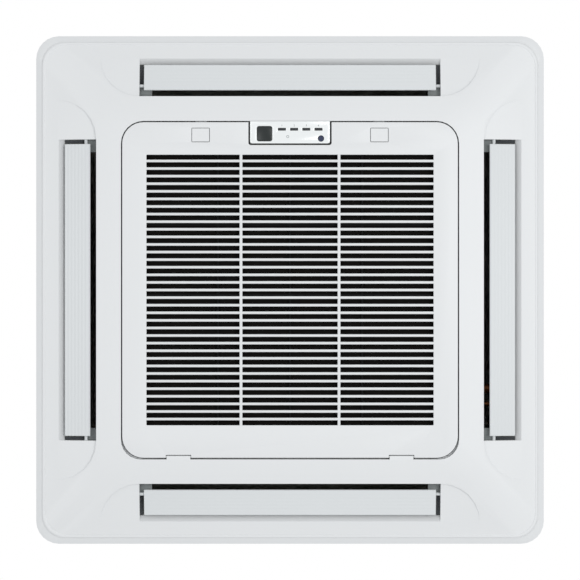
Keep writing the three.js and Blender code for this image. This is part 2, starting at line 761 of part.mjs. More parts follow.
/** A tongue and its two pins, at one of the grille's hinges. */
function hingeTongue(x) {
  const x0 = x - HINGE_HALF_WIDTH + HINGE_END_GAP;
  const x1 = x + HINGE_HALF_WIDTH - HINGE_END_GAP;
  const wallY = WELL_HALF + WELL_WALL / 2;
  const low = HINGE_AXIS_Z - HINGE_TONGUE_R;
  const high = HINGE_AXIS_Z + HINGE_TONGUE_R;
  const bar = box(x0, x1, HINGE_AXIS_Y, wallY, low, high);
  const nose = rodAlongX(HINGE_AXIS_Y, HINGE_AXIS_Z, HINGE_TONGUE_R, x0, x1, PIN_SIDES);
  const reach = HINGE_PIN_LENGTH;
  const pin = rodAlongX(HINGE_AXIS_Y, HINGE_AXIS_Z, HINGE_PIN_R, x0 - reach, x1 + reach, PIN_SIDES);
  return join(bar, nose, pin);
}

/** The ledge that a latch's nose rests over. */
function catchLedge(x) {
  const top = LATCH_ARM_TOP - LATCH_NOSE_HEIGHT - SEAT_GAP;
  return box(
    x - LATCH_ARM_WIDTH / 2,
    x + LATCH_ARM_WIDTH / 2,
    -WELL_HALF - WELL_WALL / 2,
    -WELL_HALF + LEDGE_DEPTH,
    top - LEDGE_HEIGHT,
    top,
  );
}

/** A triangular plate in the intake well's corner at +X +Y, with its bolt hole. */
function boltGusset() {
  const far = WELL_HALF + WELL_WALL / 2;
  const near = GUSSET_SUM - far;
  const shape = outline([
    [near, far],
    [far, near],
    [far, far],
  ]);
  const plate = slab(shape, GUSSET_BOTTOM, GUSSET_BOTTOM + GUSSET_THICK);
  const room = WELL_HALF + WELL_WALL;
  const inside = slab(
    roundedRectangle(room, room, GRILLE_CORNER + WELL_WALL),
    GUSSET_BOTTOM,
    GUSSET_BOTTOM + GUSSET_THICK,
  );
  const hole = cylinder(
    BOLT_XY,
    BOLT_XY,
    BOLT_R + RUNNING_GAP,
    GUSSET_BOTTOM - OVERCUT,
    GUSSET_BOTTOM + GUSSET_THICK + OVERCUT,
    PIN_SIDES,
  );
  return cut(plate.intersect(inside), hole);
}

/** The panel's one moulding: skin, upstand, well, slot walls, hinge tongues, ledges and gussets. */
function panelFrame() {
  let frame = cut(panelBlock(), panelHollow());
  for (let side = 0; side < 4; side++) {
    frame = join(frame, quarterTurn(slotWall(), side));
  }
  for (let side = 0; side < 4; side++) {
    const pivotHole = rodAlongX(
      PIVOT_Y,
      PIVOT_Z,
      PIVOT_PIN_R + RUNNING_GAP,
      -SLOT_HALF_LENGTH - SLOT_WALL - OVERCUT,
      SLOT_HALF_LENGTH + SLOT_WALL + OVERCUT,
      PIN_SIDES,
    );
    const tools = [sunkRegion(), slotOpening(), pivotHole];
    frame = cut(frame, ...tools.map((tool) => quarterTurn(tool, side)));
  }
  const wellShape = roundedRectangle(WELL_HALF, WELL_HALF, GRILLE_CORNER + LEAF_GAP);
  const low = -GRILLE_DROP - OVERCUT;
  const halfY = (LEAF_HALF + HINGE_SIDE_GAP) / 2;
  const hingeSide = roundedRectangle(WELL_HALF, halfY, HINGE_SIDE_CORNER, 0, halfY);
  frame = cut(frame, slab(wellShape, low, WELL_TOP + OVERCUT), slab(hingeSide, low, LEAF_RIM_TOP));
  for (const sign of [-1, 1]) {
    frame = join(frame, hingeTongue(sign * HINGE_X), catchLedge(sign * LATCH_X));
  }
  for (let corner = 0; corner < 4; corner++) {
    frame = join(frame, quarterTurn(boltGusset(), corner));
  }
  return frame;
}

/** A foam duct from one slot up to the unit's outlet, on the front side. */
function outletLiner() {
  const slotOuterY = -PANEL_HALF + SLOT_OUTER + SLOT_BEVEL;
  const slotInnerY = -PANEL_HALF + SLOT_INNER;
  const wall = LINER_WALL;
  const bottom = SEAT_GAP;
  const outside = loft([
    rectangleRing(
      -SLOT_HALF_LENGTH - SLOT_WALL,
      SLOT_HALF_LENGTH + SLOT_WALL,
      slotOuterY - LINER_LOW_WALL,
      slotInnerY + wall,
      bottom,
    ),
    rectangleRing(
      -LINER_TOP_HALF_LENGTH - wall,
      LINER_TOP_HALF_LENGTH + wall,
      -LINER_TOP_OUTER - wall,
      -LINER_TOP_INNER + wall,
      WELL_TOP,
    ),
  ]);
  // the bore's faces run past the liner's ends, along the same slopes
  const share = OVERCUT / (WELL_TOP - bottom);
  const ring = (t) =>
    rectangleRing(
      -THREE.MathUtils.lerp(SLOT_HALF_LENGTH, LINER_TOP_HALF_LENGTH, t),
      THREE.MathUtils.lerp(SLOT_HALF_LENGTH, LINER_TOP_HALF_LENGTH, t),
      THREE.MathUtils.lerp(slotOuterY, -LINER_TOP_OUTER, t),
      THREE.MathUtils.lerp(slotInnerY, -LINER_TOP_INNER, t),
      THREE.MathUtils.lerp(bottom, WELL_TOP, t),
    );
  return cut(outside, loft([ring(-share), ring(1 + share)]));
}

/** The section of a flap's blade as [y, z] pairs, its pivot axis on the origin. */
function flapSection() {
  const at = (fromEdge, thick) => [
    -PANEL_HALF + fromEdge - PIVOT_Y,
    sunkHeight(fromEdge) + FLAP_INSET + thick - PIVOT_Z,
  ];
  return [
    at(FLAP_OUTER + FLAP_BEVEL, 0),
    at(FLAP_INNER - FLAP_BEVEL, 0),
    at(FLAP_INNER, FLAP_THICK / 2),
    at(FLAP_INNER - FLAP_BEVEL, FLAP_THICK),
    at((FLAP_OUTER + PIVOT_FROM_EDGE) / 2, FLAP_THICK + FLAP_BACK_RIB / 2),
    at(FLAP_OUTER + FLAP_BEVEL, (FLAP_THICK * 2) / 3),
    at(FLAP_OUTER, FLAP_THICK / 3),
  ];
}

/** A flap's ear and pivot pin at its +X end. */
function flapEar() {
  const earR = PIVOT_PIN_R + EAR_WALL;
  const foot = -PIVOT_RISE - FLAP_THICK / 2;
  const web = [
    [-earR, 0],
    [-earR - EAR_WALL, foot],
    [earR, foot],
    [earR, 0],
  ];
  const inner = FLAP_HALF_LENGTH - EAR_LENGTH;
  const tip = SLOT_HALF_LENGTH + SLOT_WALL;
  return join(
    prismAlongX(web, inner, FLAP_HALF_LENGTH),
    rodAlongX(0, 0, earR, inner, FLAP_HALF_LENGTH, PIN_SIDES),
    rodAlongX(0, 0, PIVOT_PIN_R, inner, tip, PIN_SIDES),
  );
}

/** One flap with its ears and pins, its pivot axis on the origin. */
function flap() {
  const blade = prismAlongX(flapSection(), -FLAP_HALF_LENGTH, FLAP_HALF_LENGTH);
  return join(blade, flapEar(), flapEar().mirror([1, 0, 0]));
}

/** The small motor that turns a flap, behind the slot's end wall on the front side. */
function flapMotor() {
  const x0 = SLOT_HALF_LENGTH + SLOT_WALL + SEAT_GAP;
  const x1 = x0 + MOTOR_CAN_LENGTH;
  const centreZ = PIVOT_Z + MOTOR_OFFSET;
  const can = rodAlongX(PIVOT_Y, centreZ, MOTOR_CAN_R, x0, x1);
  const plate = box(
    x0,
    x0 + MOTOR_EAR_THICK,
    PIVOT_Y - MOTOR_EAR_HALF,
    PIVOT_Y + MOTOR_EAR_HALF,
    centreZ - MOTOR_EAR_R,
    centreZ + MOTOR_EAR_R,
  );
  const plug = box(
    x0 + MOTOR_CAN_LENGTH / 4,
    x1 - MOTOR_CAN_LENGTH / 4,
    PIVOT_Y - MOTOR_PLUG_HALF,
    PIVOT_Y + MOTOR_PLUG_HALF,
    centreZ,
    centreZ + MOTOR_CAN_R + MOTOR_PLUG_RISE,
  );
  const hole = (y) => {
    const end = x0 + MOTOR_EAR_THICK + OVERCUT;
    return rodAlongX(y, centreZ, MOTOR_SCREW_R, x0 - OVERCUT, end, PIN_SIDES);
  };
  const holeOut = MOTOR_EAR_HALF - MOTOR_EAR_R;
  return join(cut(plate, hole(PIVOT_Y - holeOut), hole(PIVOT_Y + holeOut)), can, plug);
}

/** The flat foam gasket between the panel and the unit. */
function ductSeal() {
  const outer = LINER_TOP_OUTER + LINER_WALL;
  const gasket = slab(roundedRectangle(outer, outer, PANEL_CORNER), SEAL_BOTTOM, SEAL_TOP);
  const well = slab(
    roundedRectangle(WELL_HALF, WELL_HALF, GRILLE_CORNER + LEAF_GAP),
    SEAL_BOTTOM - OVERCUT,
    SEAL_TOP + OVERCUT,
  );
  const windows = [0, 1, 2, 3].map((side) =>
    quarterTurn(
      box(
        -LINER_TOP_HALF_LENGTH,
        LINER_TOP_HALF_LENGTH,
        -LINER_TOP_OUTER,
        -LINER_TOP_INNER,
        SEAL_BOTTOM - OVERCUT,
        SEAL_TOP + OVERCUT,
      ),
      side,
    ),
  );
  return cut(gasket, well, ...windows);
}

/** A bolt from the well's corner up into the unit. */
function panelBolt(x, y) {
  const headTop = GUSSET_BOTTOM - SEAT_GAP;
  const head = cylinder(x, y, BOLT_HEAD_R, headTop - BOLT_HEAD_HEIGHT, headTop, 6);
  const shank = cylinder(x, y, BOLT_R, headTop - 1, CASING_BOTTOM + BOLT_REACH, PIN_SIDES);
  return join(head, shank);
}

// ---- Display ----

/** Centre of a lamp slit along X. */
function lampX(index) {
  return FIRST_LAMP_X + index * LAMP_PITCH;
}

/** The receiver window's outline, grown by a margin. */
function windowOutline(margin) {
  const halfX = WINDOW_WIDTH / 2 + margin;
  return roundedRectangle(halfX, WINDOW_HEIGHT / 2 + margin, WINDOW_CORNER, WINDOW_X, WINDOW_Y);
}

/** A lamp slit's outline, grown by a margin. */
function lampOutline(index, margin) {
  const halfX = LAMP_WIDTH / 2 + margin;
  return roundedRectangle(halfX, LAMP_HEIGHT / 2 + margin, LAMP_CORNER, lampX(index), LAMP_Y);
}

/** Every lamp's own solid, from a function of its index. */
function eachLamp(make) {
  return Array.from({ length: LAMP_COUNT }, (_, index) => make(index));
}

/** The glossy cover, with its window, lamp slits and button hole. */
function displayCover() {
  const shape = new THREE.Shape();
  const back = COVER_FRONT + COVER_DEPTH;
  const corner = COVER_CORNER;
  shape.moveTo(-COVER_HALF, COVER_FRONT);
  shape.lineTo(COVER_HALF, COVER_FRONT);
  shape.lineTo(COVER_HALF, back - corner);
  shape.absarc(COVER_HALF - corner, back - corner, corner, 0, Math.PI / 2);
  shape.lineTo(-COVER_HALF + corner, back);
  shape.absarc(-COVER_HALF + corner, back - corner, corner, Math.PI / 2, Math.PI);
  const plate = slab(shape, COVER_FACE, COVER_TOP);
  const low = COVER_FACE - OVERCUT;
  const high = COVER_TOP + OVERCUT;
  const window = slab(windowOutline(SEAT_GAP), low, high, SMALL_STEPS);
  const slits = eachLamp((i) => slab(lampOutline(i, SEAT_GAP), low, high, SMALL_STEPS));
  return cut(plate, window, cylinder(BUTTON_X, BUTTON_Y, BUTTON_R + TAB_GAP, low, high), ...slits);
}

/** The dark window in front of the remote control's receiver. */
function receiverWindow() {
  return slab(windowOutline(0), COVER_FACE, COVER_FACE + WINDOW_DEPTH, SMALL_STEPS);
}

/** Four lamp lenses on one bar. */
function lightGuide() {
  const bottom = COVER_TOP + SEAT_GAP;
  const top = bottom + LIGHT_BAR_THICK;
  const margin = LIGHT_BAR_MARGIN;
  const bar = box(
    lampX(0) - LAMP_WIDTH / 2 - margin,
    lampX(LAMP_COUNT - 1) + LAMP_WIDTH / 2 + margin,
    LAMP_Y - margin,
    LAMP_Y + margin,
    bottom,
    top,
  );
  const lenses = eachLamp((i) => slab(lampOutline(i, 0), COVER_FACE, bottom + OVERCUT, SMALL_STEPS));
  const half = margin / 2;
  const feet = [lampX(0), lampX(LAMP_COUNT - 1)].map((x) =>
    box(x - half, x + half, LAMP_Y - half, LAMP_Y + half, top - OVERCUT, BOARD_Z - SEAT_GAP),
  );
  return join(bar, ...lenses, ...feet);
}

/** The round button, with the flange that keeps it behind the cover. */
function manualButton() {
  const flangeBottom = COVER_TOP + SEAT_GAP;
  const stemTop = BOARD_Z - BUTTON_TRAVEL - SEAT_GAP;
  return turned([
    [0, COVER_FACE - BUTTON_CROWN],
    [BUTTON_R - 2 * BUTTON_CROWN, COVER_FACE - BUTTON_CROWN],
    [BUTTON_R, COVER_FACE + BUTTON_CROWN],
    [BUTTON_R, flangeBottom],
    [BUTTON_FLANGE_R, flangeBottom],
    [BUTTON_FLANGE_R, flangeBottom + 1],
    [BUTTON_STEM_R, flangeBottom + 1.6],
    [BUTTON_STEM_R, stemTop],
    [0, stemTop],
  ]).translate([BUTTON_X, BUTTON_Y, 0]);
}

/** The tray that holds the display's board behind the cover. */
function displayHousing() {
  const x = COVER_HALF - HOUSING_INSET;
  const y0 = COVER_FRONT;
  const y1 = COVER_FRONT + COVER_DEPTH - HOUSING_INSET;
  const bottom = COVER_TOP + SEAT_GAP;
  const wall = HOUSING_WALL;
  const tray = cut(
    box(-x, x, y0, y1, bottom, HOUSING_TOP),
    box(-x + wall, x - wall, y0 + wall, y1 - wall, bottom - OVERCUT, HOUSING_TOP - wall),
  );
  const postX = x - wall - 2 * HOUSING_POST_R;
  const postBottom = BOARD_Z + BOARD_THICK + SEAT_GAP;
  const posts = [-postX, postX].map((at) =>
    cylinder(at, (y0 + y1) / 2, HOUSING_POST_R, postBottom, HOUSING_TOP - wall / 2, PIN_SIDES),
  );
  return join(tray, ...posts);
}

/** The display's circuit board. */
function displayBoard() {
  const edge = HOUSING_WALL + SEAT_GAP;
  const x = COVER_HALF - HOUSING_INSET - edge;
  const y0 = COVER_FRONT + edge;
  const y1 = COVER_FRONT + COVER_DEPTH - HOUSING_INSET - edge;
  return box(-x, x, y0, y1, BOARD_Z, BOARD_Z + BOARD_THICK);
}

// ---- Grille ----

/** The field of slats: a plate with rows of slots between two cross bars. */
function slatField() {
  const margin = 3;
  const bottom = -GRILLE_DROP + SLAT_INSET;
  const plate = box(
    -SLAT_FIELD_HALF_X - margin,
    SLAT_FIELD_HALF_X + margin,
    -SLAT_FIELD_HALF_Y - margin,
    SLAT_FIELD_HALF_Y + margin,
    bottom,
    SLAT_TOP,
  );
  const bar = CROSS_BAR_WIDTH / 2;
  const columns = [
    [-SLAT_FIELD_HALF_X, -CROSS_BAR_X - bar],
    [-CROSS_BAR_X + bar, CROSS_BAR_X - bar],
    [CROSS_BAR_X + bar, SLAT_FIELD_HALF_X],
  ];
  const slots = [];
  for (let row = 0; row <= SLAT_COUNT; row++) {
    const y0 = -SLAT_FIELD_HALF_Y + row * SLAT_PITCH;
    for (const [x0, x1] of columns) {
      slots.push(box(x0, x1, y0, y0 + SLAT_GAP, bottom - OVERCUT, SLAT_TOP + OVERCUT));
    }
  }
  return cut(plate, ...slots);
}

/** The two knuckles beside one hinge tongue. */
function hingeKnuckles(x) {
  const near = HINGE_HALF_WIDTH;
  const far = near + KNUCKLE_WIDTH;
  const y0 = LEAF_HALF - HINGE_NOTCH_DEPTH - KNUCKLE_INSET;
  const blocks = [-1, 1].map((sign) => {
    const ends = [x + sign * near, x + sign * far].sort((a, b) => a - b);
    return box(...ends, y0, LEAF_HALF, -GRILLE_DROP, HINGE_AXIS_Z + KNUCKLE_TOP);
  });
  return join(...blocks);
}

/** Space for one hinge's tongue and pins. */
function hingeRoom(x) {
  const near = HINGE_HALF_WIDTH;
  const notch = box(
    x - near,
    x + near,
    LEAF_HALF - HINGE_NOTCH_DEPTH,
    LEAF_HALF + OVERCUT,
    -GRILLE_DROP - OVERCUT,
    LEAF_RIM_TOP + OVERCUT,
  );
  const reach = near + HINGE_PIN_LENGTH;
  const boreR = HINGE_PIN_R + RUNNING_GAP;
  return join(notch, rodAlongX(HINGE_AXIS_Y, HINGE_AXIS_Z, boreR, x - reach, x + reach, PIN_SIDES));
}

/** Space in the leaf for one latch: its tab's recess, and a gap in the rim for its arm. */
function latchRoom(x) {
  const tab = box(
    x - LATCH_WIDTH / 2,
    x + LATCH_WIDTH / 2,
    LATCH_Y - LATCH_HEIGHT / 2,
    LATCH_Y + LATCH_HEIGHT / 2,
    -GRILLE_DROP - OVERCUT,
    LEAF_BACK + OVERCUT,
  );
  const armRoom = LATCH_ARM_WIDTH / 2 + 2 * OVERCUT;
  const rimGap = box(
    x - armRoom,
    x + armRoom,
    -LEAF_HALF - OVERCUT,
    LATCH_Y,
    LEAF_BACK + SEAT_GAP,
    LEAF_RIM_TOP + OVERCUT,
  );
  return join(tab, rimGap);
}

/** The hinged intake grille. */
function intakeGrille() {
  const plate = slab(leafOutline(0), -GRILLE_DROP, LEAF_BACK);
  const rim = cut(
    slab(leafOutline(SEAT_GAP), LEAF_BACK - OVERCUT, LEAF_RIM_TOP),
    slab(leafOutline(LEAF_RIM_WIDTH), LEAF_BACK - 2 * OVERCUT, LEAF_RIM_TOP + OVERCUT),
  );
  const window = box(
    -SLAT_FIELD_HALF_X - 1,
    SLAT_FIELD_HALF_X + 1,
    -SLAT_FIELD_HALF_Y - 1,
    SLAT_FIELD_HALF_Y + 1,
    -GRILLE_DROP - OVERCUT,
    LEAF_BACK + OVERCUT,
  );
  let grille = join(cut(join(plate, rim), window), slatField());
  for (const sign of [-1, 1]) {
    grille = cut(grille, latchRoom(sign * LATCH_X));
    grille = cut(join(grille, hingeKnuckles(sign * HINGE_X)), hingeRoom(sign * HINGE_X));
  }
  return grille;
}

/** A press latch: its finger tab in the grille, and the arm whose nose rests over the ledge. */
function latch(x) {
  const halfX = LATCH_WIDTH / 2 - TAB_GAP;
  const y0 = LATCH_Y - LATCH_HEIGHT / 2 + TAB_GAP;
  const thick = LATCH_THICK;
  const tab = box(x - halfX, x + halfX, y0, LATCH_PIVOT_Y, -GRILLE_DROP, -GRILLE_DROP + thick);
  const arm = LATCH_ARM_WIDTH / 2;
  const foot = -GRILLE_DROP + thick / 2;
  const post = box(x - arm, x + arm, y0, y0 + thick, foot, LATCH_ARM_TOP);
  const tip = -WELL_HALF + LEDGE_DEPTH + CATCH_CLEARANCE;
  const noseZ = LATCH_ARM_TOP - LATCH_NOSE_HEIGHT;
  const nose = box(x - arm, x + arm, tip, y0 + thick / 2, noseZ, LATCH_ARM_TOP);
  const rib = box(x - halfX, x + halfX, LATCH_PIVOT_Y - thick, LATCH_PIVOT_Y, foot, LATCH_PIVOT_Z);
  return join(tab, post, nose, rib);
}

/** The filter's outline, set in by an amount. */
function filterOutline(inset) {
  const halfY = (FILTER_BACK - FILTER_FRONT) / 2;
  const middleY = (FILTER_FRONT + FILTER_BACK) / 2;
  return roundedRectangle(FILTER_HALF_X - inset, halfY - inset, FILTER_CORNER - inset / 2, 0, middleY);
}

/** The filter's frame, with its ribs. */
function filterFrame() {
  const roomX = 2 * (FILTER_HALF_X - FILTER_FRAME_WIDTH) + FILTER_RIB;
  const roomY = FILTER_BACK - FILTER_FRONT - 2 * FILTER_FRAME_WIDTH + FILTER_RIB;
  const cellX = roomX / FILTER_CELLS;
  const cellY = roomY / FILTER_CELLS;
  const low = FILTER_BOTTOM - OVERCUT;
  const top = FILTER_BOTTOM + FILTER_THICK;
  const windows = [];
  for (let i = 0; i < FILTER_CELLS; i++) {
    for (let j = 0; j < FILTER_CELLS; j++) {
      const x0 = -FILTER_HALF_X + FILTER_FRAME_WIDTH + i * cellX;
      const y0 = FILTER_FRONT + FILTER_FRAME_WIDTH + j * cellY;
      windows.push(box(x0, x0 + cellX - FILTER_RIB, y0, y0 + cellY - FILTER_RIB, low, top + OVERCUT));
    }
  }
  return cut(slab(filterOutline(0), FILTER_BOTTOM, top), ...windows);
}

/** The filter's net, on top of the frame's ribs. */
function filterNet() {
  const bottom = FILTER_BOTTOM + FILTER_THICK + SEAT_GAP;
  return slab(filterOutline(FILTER_NET_INSET), bottom, bottom + FILTER_NET_THICK);
}

// ---- Casing ----

/** Ribs stamped in the casing's top, set in by an amount: a ring and four arms. */
function topRibs(inset, top) {
  const half = RIB_WIDTH / 2 - inset;
  const ring = turned(
    [
      [RIB_RING_R - half, ROOF - 1],
      [RIB_RING_R + half, ROOF - 1],
      [RIB_RING_R + half, top],
      [RIB_RING_R - half, top],
    ],
    WIDE_SIDES,
  );
  const arms = [0, 1, 2, 3].map((side) =>
    quarterTurn(box(RIB_RING_R, RIB_REACH - inset, -half, half, ROOF - 1, top), side),
  );
  return join(ring, ...arms);
}

/** The folded sheet casing, open at the bottom. */
function casingShell() {
  const outside = casingPrism(CASING_HALF, CASING_BOTTOM, SHEET_TOP);
  const inside = casingPrism(CASING_HALF - SHEET, CASING_BOTTOM - 1, ROOF);
  const shell = cut(join(outside, topRibs(0, CASING_TOP)), inside, topRibs(SHEET, CASING_TOP - SHEET));
  const window = pipeWindow(CASING_HALF - FOAM_WALL, CASING_HALF + OVERCUT);
  return cut(shell, window, freshHole(), drainHole());
}

/** The opening that the two refrigerant pipes leave through. */
function pipeWindow(x0, x1) {
  return box(
    x0,
    x1,
    GAS_Y - GAS_PIPE_R - PIPE_HOLE_MARGIN,
    LIQUID_Y + LIQUID_PIPE_R + PIPE_HOLE_MARGIN,
    LIQUID_Z - PIPE_HOLE_MARGIN * 2,
    GAS_Z + PIPE_HOLE_MARGIN * 2,
  );
}

/** A cylinder along Y at the fresh-air opening. */
function freshAirDisc(radius, y0, y1) {
  const geometry = new THREE.CylinderGeometry(radius, radius, y1 - y0, ROUND_SIDES);
  geometry.translate(FRESH_X, (y0 + y1) / 2, FRESH_Z);
  return solid(geometry);
}

/** A round hole through the casing's front wall for fresh air. */
function freshHole() {
  return freshAirDisc(FRESH_HOLE_R, -CASING_HALF - OVERCUT, -CASING_HALF + SHEET + OVERCUT);
}

/** A round hole through the right wall, and its lining, for the drain tube. */
function drainHole() {
  const x0 = FOAM_INNER - OVERCUT;
  return rodAlongX(PUMP_Y, DRAIN_Z, DRAIN_R + 2 * SEAT_GAP, x0, CASING_HALF + OVERCUT);
}

/** The foam lining of the casing's walls and top. */
function casingInsulation() {
  const bottom = PAN_TOP + SEAT_GAP;
  const top = ROOF - SEAT_GAP;
  const outside = casingPrism(FOAM_OUTER, bottom, top);
  const roof = top - FOAM_TOP;
  const inside = casingPrism(FOAM_INNER, bottom - OVERCUT, roof);
  const motorHole = cylinder(0, 0, FOAM_MOTOR_HOLE_R, roof - OVERCUT, top + OVERCUT, WIDE_SIDES);
  const window = pipeWindow(FOAM_INNER - OVERCUT, FOAM_OUTER + OVERCUT);
  return cut(outside, inside, motorHole, window, drainHole());
}

/** A plate outside the casing that the pipes pass through. */
function pipeCoverPlate() {
  const x0 = CASING_HALF + SEAT_GAP;
  const cy = (GAS_Y + LIQUID_Y) / 2;
  const cz = (GAS_Z + LIQUID_Z) / 2;
  const plate = box(
    x0,
    x0 + SHEET,
    cy - PIPE_PLATE_HALF_Y,
    cy + PIPE_PLATE_HALF_Y,
    cz - PIPE_PLATE_HALF_Z,
    cz + PIPE_PLATE_HALF_Z,
  );
  const ends = [x0 - OVERCUT, x0 + SHEET + OVERCUT];
  return cut(
    plate,
    rodAlongX(GAS_Y, GAS_Z, GAS_PIPE_R + SEAT_GAP, ...ends),
    rodAlongX(LIQUID_Y, LIQUID_Z, LIQUID_PIPE_R + SEAT_GAP, ...ends, PIN_SIDES),
  );
}

/** The round cover over the fresh-air hole. */
function freshAirCover() {
  const back = -CASING_HALF - SEAT_GAP;
  return freshAirDisc(FRESH_COVER_R, back - SHEET, back);
}

/** A hanger bracket on the casing's corner at +X +Y, its slot centred on the hanging rod. */
function hangerBracket() {
  const face = (2 * CASING_HALF - CASING_CHAMFER) / Math.SQRT2 + SEAT_GAP;
  const rodOut = (HANGER_SPAN_X + HANGER_SPAN_Y) / 2 / Math.SQRT2;
  const rodAcross = (HANGER_SPAN_Y - HANGER_SPAN_X) / 2 / Math.SQRT2;
  const out = rodOut + HANGER_SLOT_WIDTH / 2 + HANGER_MARGIN;
  const shelf = box(face, out, -HANGER_HALF_WIDTH, HANGER_HALF_WIDTH, HANGER_Z, HANGER_Z + HANGER_THICK);
  const flange = box(
    face,
    face + HANGER_THICK,
    -HANGER_HALF_WIDTH,
    HANGER_HALF_WIDTH,
    HANGER_Z - HANGER_FLANGE,
    HANGER_Z + HANGER_THICK,
  );
  const half = HANGER_SLOT_LENGTH / 2;
  const radius = HANGER_SLOT_WIDTH / 2;
  const endRadius = radius - 0.01; // a trace of flat keeps the outline's points apart
  const slot = slab(
    roundedRectangle(radius, half, endRadius, rodOut, rodAcross),
    HANGER_Z - OVERCUT,
    HANGER_Z + HANGER_THICK + OVERCUT,
  );
  return cut(join(shelf, flange), slot).rotate([0, 0, 45]);
}

// ---- Air side ----

/** The ring that leads air from the intake into the fan. */
function bellMouth() {
  const top = CASING_BOTTOM - SEAT_GAP;
  const bottom = top - BELL_FLANGE_THICK;
  const boreR = PAN_BORE_R - SEAT_GAP;
  const lipR = boreR - BELL_LIP;
  const wall = BELL_WALL;
  const straight = BELL_TOP - BELL_STRAIGHT;
  const middle = (top + straight) / 2;
  return turned(
    [
      [BELL_FLANGE_R, bottom],
      [BELL_FLANGE_R, top],
      [boreR, top],
      [lipR, top + 2 * BELL_LIP],
      [BELL_THROAT_R + wall + BELL_FLARE, middle],
      [BELL_THROAT_R + wall, straight],
      [BELL_THROAT_R + wall, BELL_TOP],
      [BELL_THROAT_R, BELL_TOP],
      [BELL_THROAT_R, straight],
      [BELL_THROAT_R + BELL_FLARE, middle - wall],
      [lipR - 1.4 * wall, top + 1.5 * BELL_LIP],
      [lipR - wall, bottom],
    ],
    WIDE_SIDES,
  );
}

/** The shroud's profile, as [radius, z] pairs along its outer (lower) face. */
function shroudLine() {
  const rise = FAN_SHROUD_RISE;
  const reach = FAN_R - FAN_SHROUD_R;
  return [0, 0.25, 0.5, 0.75, 1].map((t) => {
    const angle = (t * Math.PI) / 2;
    return [FAN_R - reach * Math.cos(angle), FAN_SHROUD_Z + rise * Math.sin(angle)];
  });
}

/** The fan's lower ring. */
function fanShroud() {
  const under = shroudLine();
  const over = under.map(([r, z]) => [r - FAN_SKIN * 0.35, z + FAN_SKIN]).reverse();
  return turned([...under, ...over], WIDE_SIDES);
}

/** The fan's back plate, its cone and the boss on the shaft. */
function fanHub() {
  const skin = FAN_SKIN;
  const bore = SHAFT_R + RUNNING_GAP;
  const bossTop = FAN_HUB_Z + FAN_BOSS_HEIGHT / 2;
  const bossFoot = FAN_HUB_Z - FAN_BOSS_HEIGHT / 2;
  return turned(
    [
      [FAN_R, FAN_BACK_Z],
      [FAN_R, FAN_BACK_Z + skin],
      [FAN_CONE_R, FAN_BACK_Z + skin],
      [FAN_HUB_R, FAN_HUB_Z + skin],
      [FAN_BOSS_R, FAN_HUB_Z + skin],
      [FAN_BOSS_R, bossTop],
      [bore, bossTop],
      [bore, bossFoot],
      [FAN_BOSS_R, bossFoot],
      [FAN_BOSS_R + 4, FAN_HUB_Z],
      [FAN_HUB_R + 1, FAN_HUB_Z],
      [FAN_CONE_R + 1, FAN_BACK_Z],
    ],
    WIDE_SIDES,
  );
}

/** One backward-leaning blade, from the shroud to the back plate. */
function fanBlade() {
  const side = (offset) =>
    Array.from({ length: BLADE_STEPS + 1 }, (_, i) => {
      const t = i / BLADE_STEPS;
      const radius = BLADE_INNER_R + t * (FAN_R - 1 - BLADE_INNER_R);
      const angle = -BLADE_LEAN * t ** 0.8 + offset / radius;
      return [radius * Math.cos(angle), radius * Math.sin(angle)];
    });
  const half = BLADE_THICK / 2;
  const shape = outline([...side(-half), ...side(half).reverse()]);
  return slab(shape, FAN_SHROUD_Z, FAN_BACK_Z + 1);
}

/** The space under the shroud, which no blade reaches into. */
function underShroud() {
  const low = FAN_SHROUD_Z - 20;
  const clear = BELL_TOP + 4;
  return turned(
    [
      [BLADE_INNER_R - 20, low],
      [FAN_R + 20, low],
      [FAN_R + 20, FAN_SHROUD_Z + FAN_SHROUD_RISE + FAN_SKIN / 2],
      ...shroudLine()
        .reverse()
        .map(([r, z]) => [r, z + FAN_SKIN / 2]),
      [FAN_SHROUD_R - 0.5, clear],
      [BLADE_INNER_R - 20, clear],
    ],
    WIDE_SIDES,
  );
}

/** The whole turbo fan. */
function turboFan() {
  const room = underShroud();
  const blades = Array.from({ length: BLADE_COUNT }, (_, i) =>
    cut(fanBlade(), room).rotate([0, 0, (360 * i) / BLADE_COUNT]),
  );
  return join(fanHub(), fanShroud(), ...blades);
}

/** The shaft, from inside the motor to below the fan's nut. */
function motorShaft() {
  const low = FAN_HUB_Z - FAN_BOSS_HEIGHT / 2 - SHAFT_BELOW_HUB;
  return cylinder(0, 0, SHAFT_R, low, MOTOR_BOTTOM + SHAFT_IN_MOTOR, PIN_SIDES);
}

/** The nut that holds the fan on the shaft. */
function fanNut() {
  const top = FAN_HUB_Z - FAN_BOSS_HEIGHT / 2 - SEAT_GAP;
  const foot = top - NUT_HEIGHT;
  const nut = cylinder(0, 0, NUT_ACROSS_CORNERS / 2, foot, top, 6);
  return cut(nut, cylinder(0, 0, SHAFT_R + RUNNING_GAP, foot - OVERCUT, top + OVERCUT, PIN_SIDES));
}

/** The fan's motor, with the bearing hole for its shaft. */
function fanMotor() {
  const bore = SHAFT_R + RUNNING_GAP;
  const boreEnd = MOTOR_BOTTOM + SHAFT_IN_MOTOR + 2 * OVERCUT;
  const bodyBottom = MOTOR_BOTTOM + 2 * MOTOR_SHOULDER;
  return turned([
    [bore, MOTOR_BOTTOM],
    [MOTOR_NECK_R, MOTOR_BOTTOM],
    [MOTOR_NECK_R, bodyBottom - 2],
    [MOTOR_R - MOTOR_SHOULDER, bodyBottom],
    [MOTOR_R, bodyBottom + 8],
    [MOTOR_R, MOTOR_BODY_TOP - 8],
    [MOTOR_R - MOTOR_SHOULDER, MOTOR_BODY_TOP],
    [0, MOTOR_BODY_TOP],
    [0, boreEnd],
    [bore, boreEnd],
  ]);
}

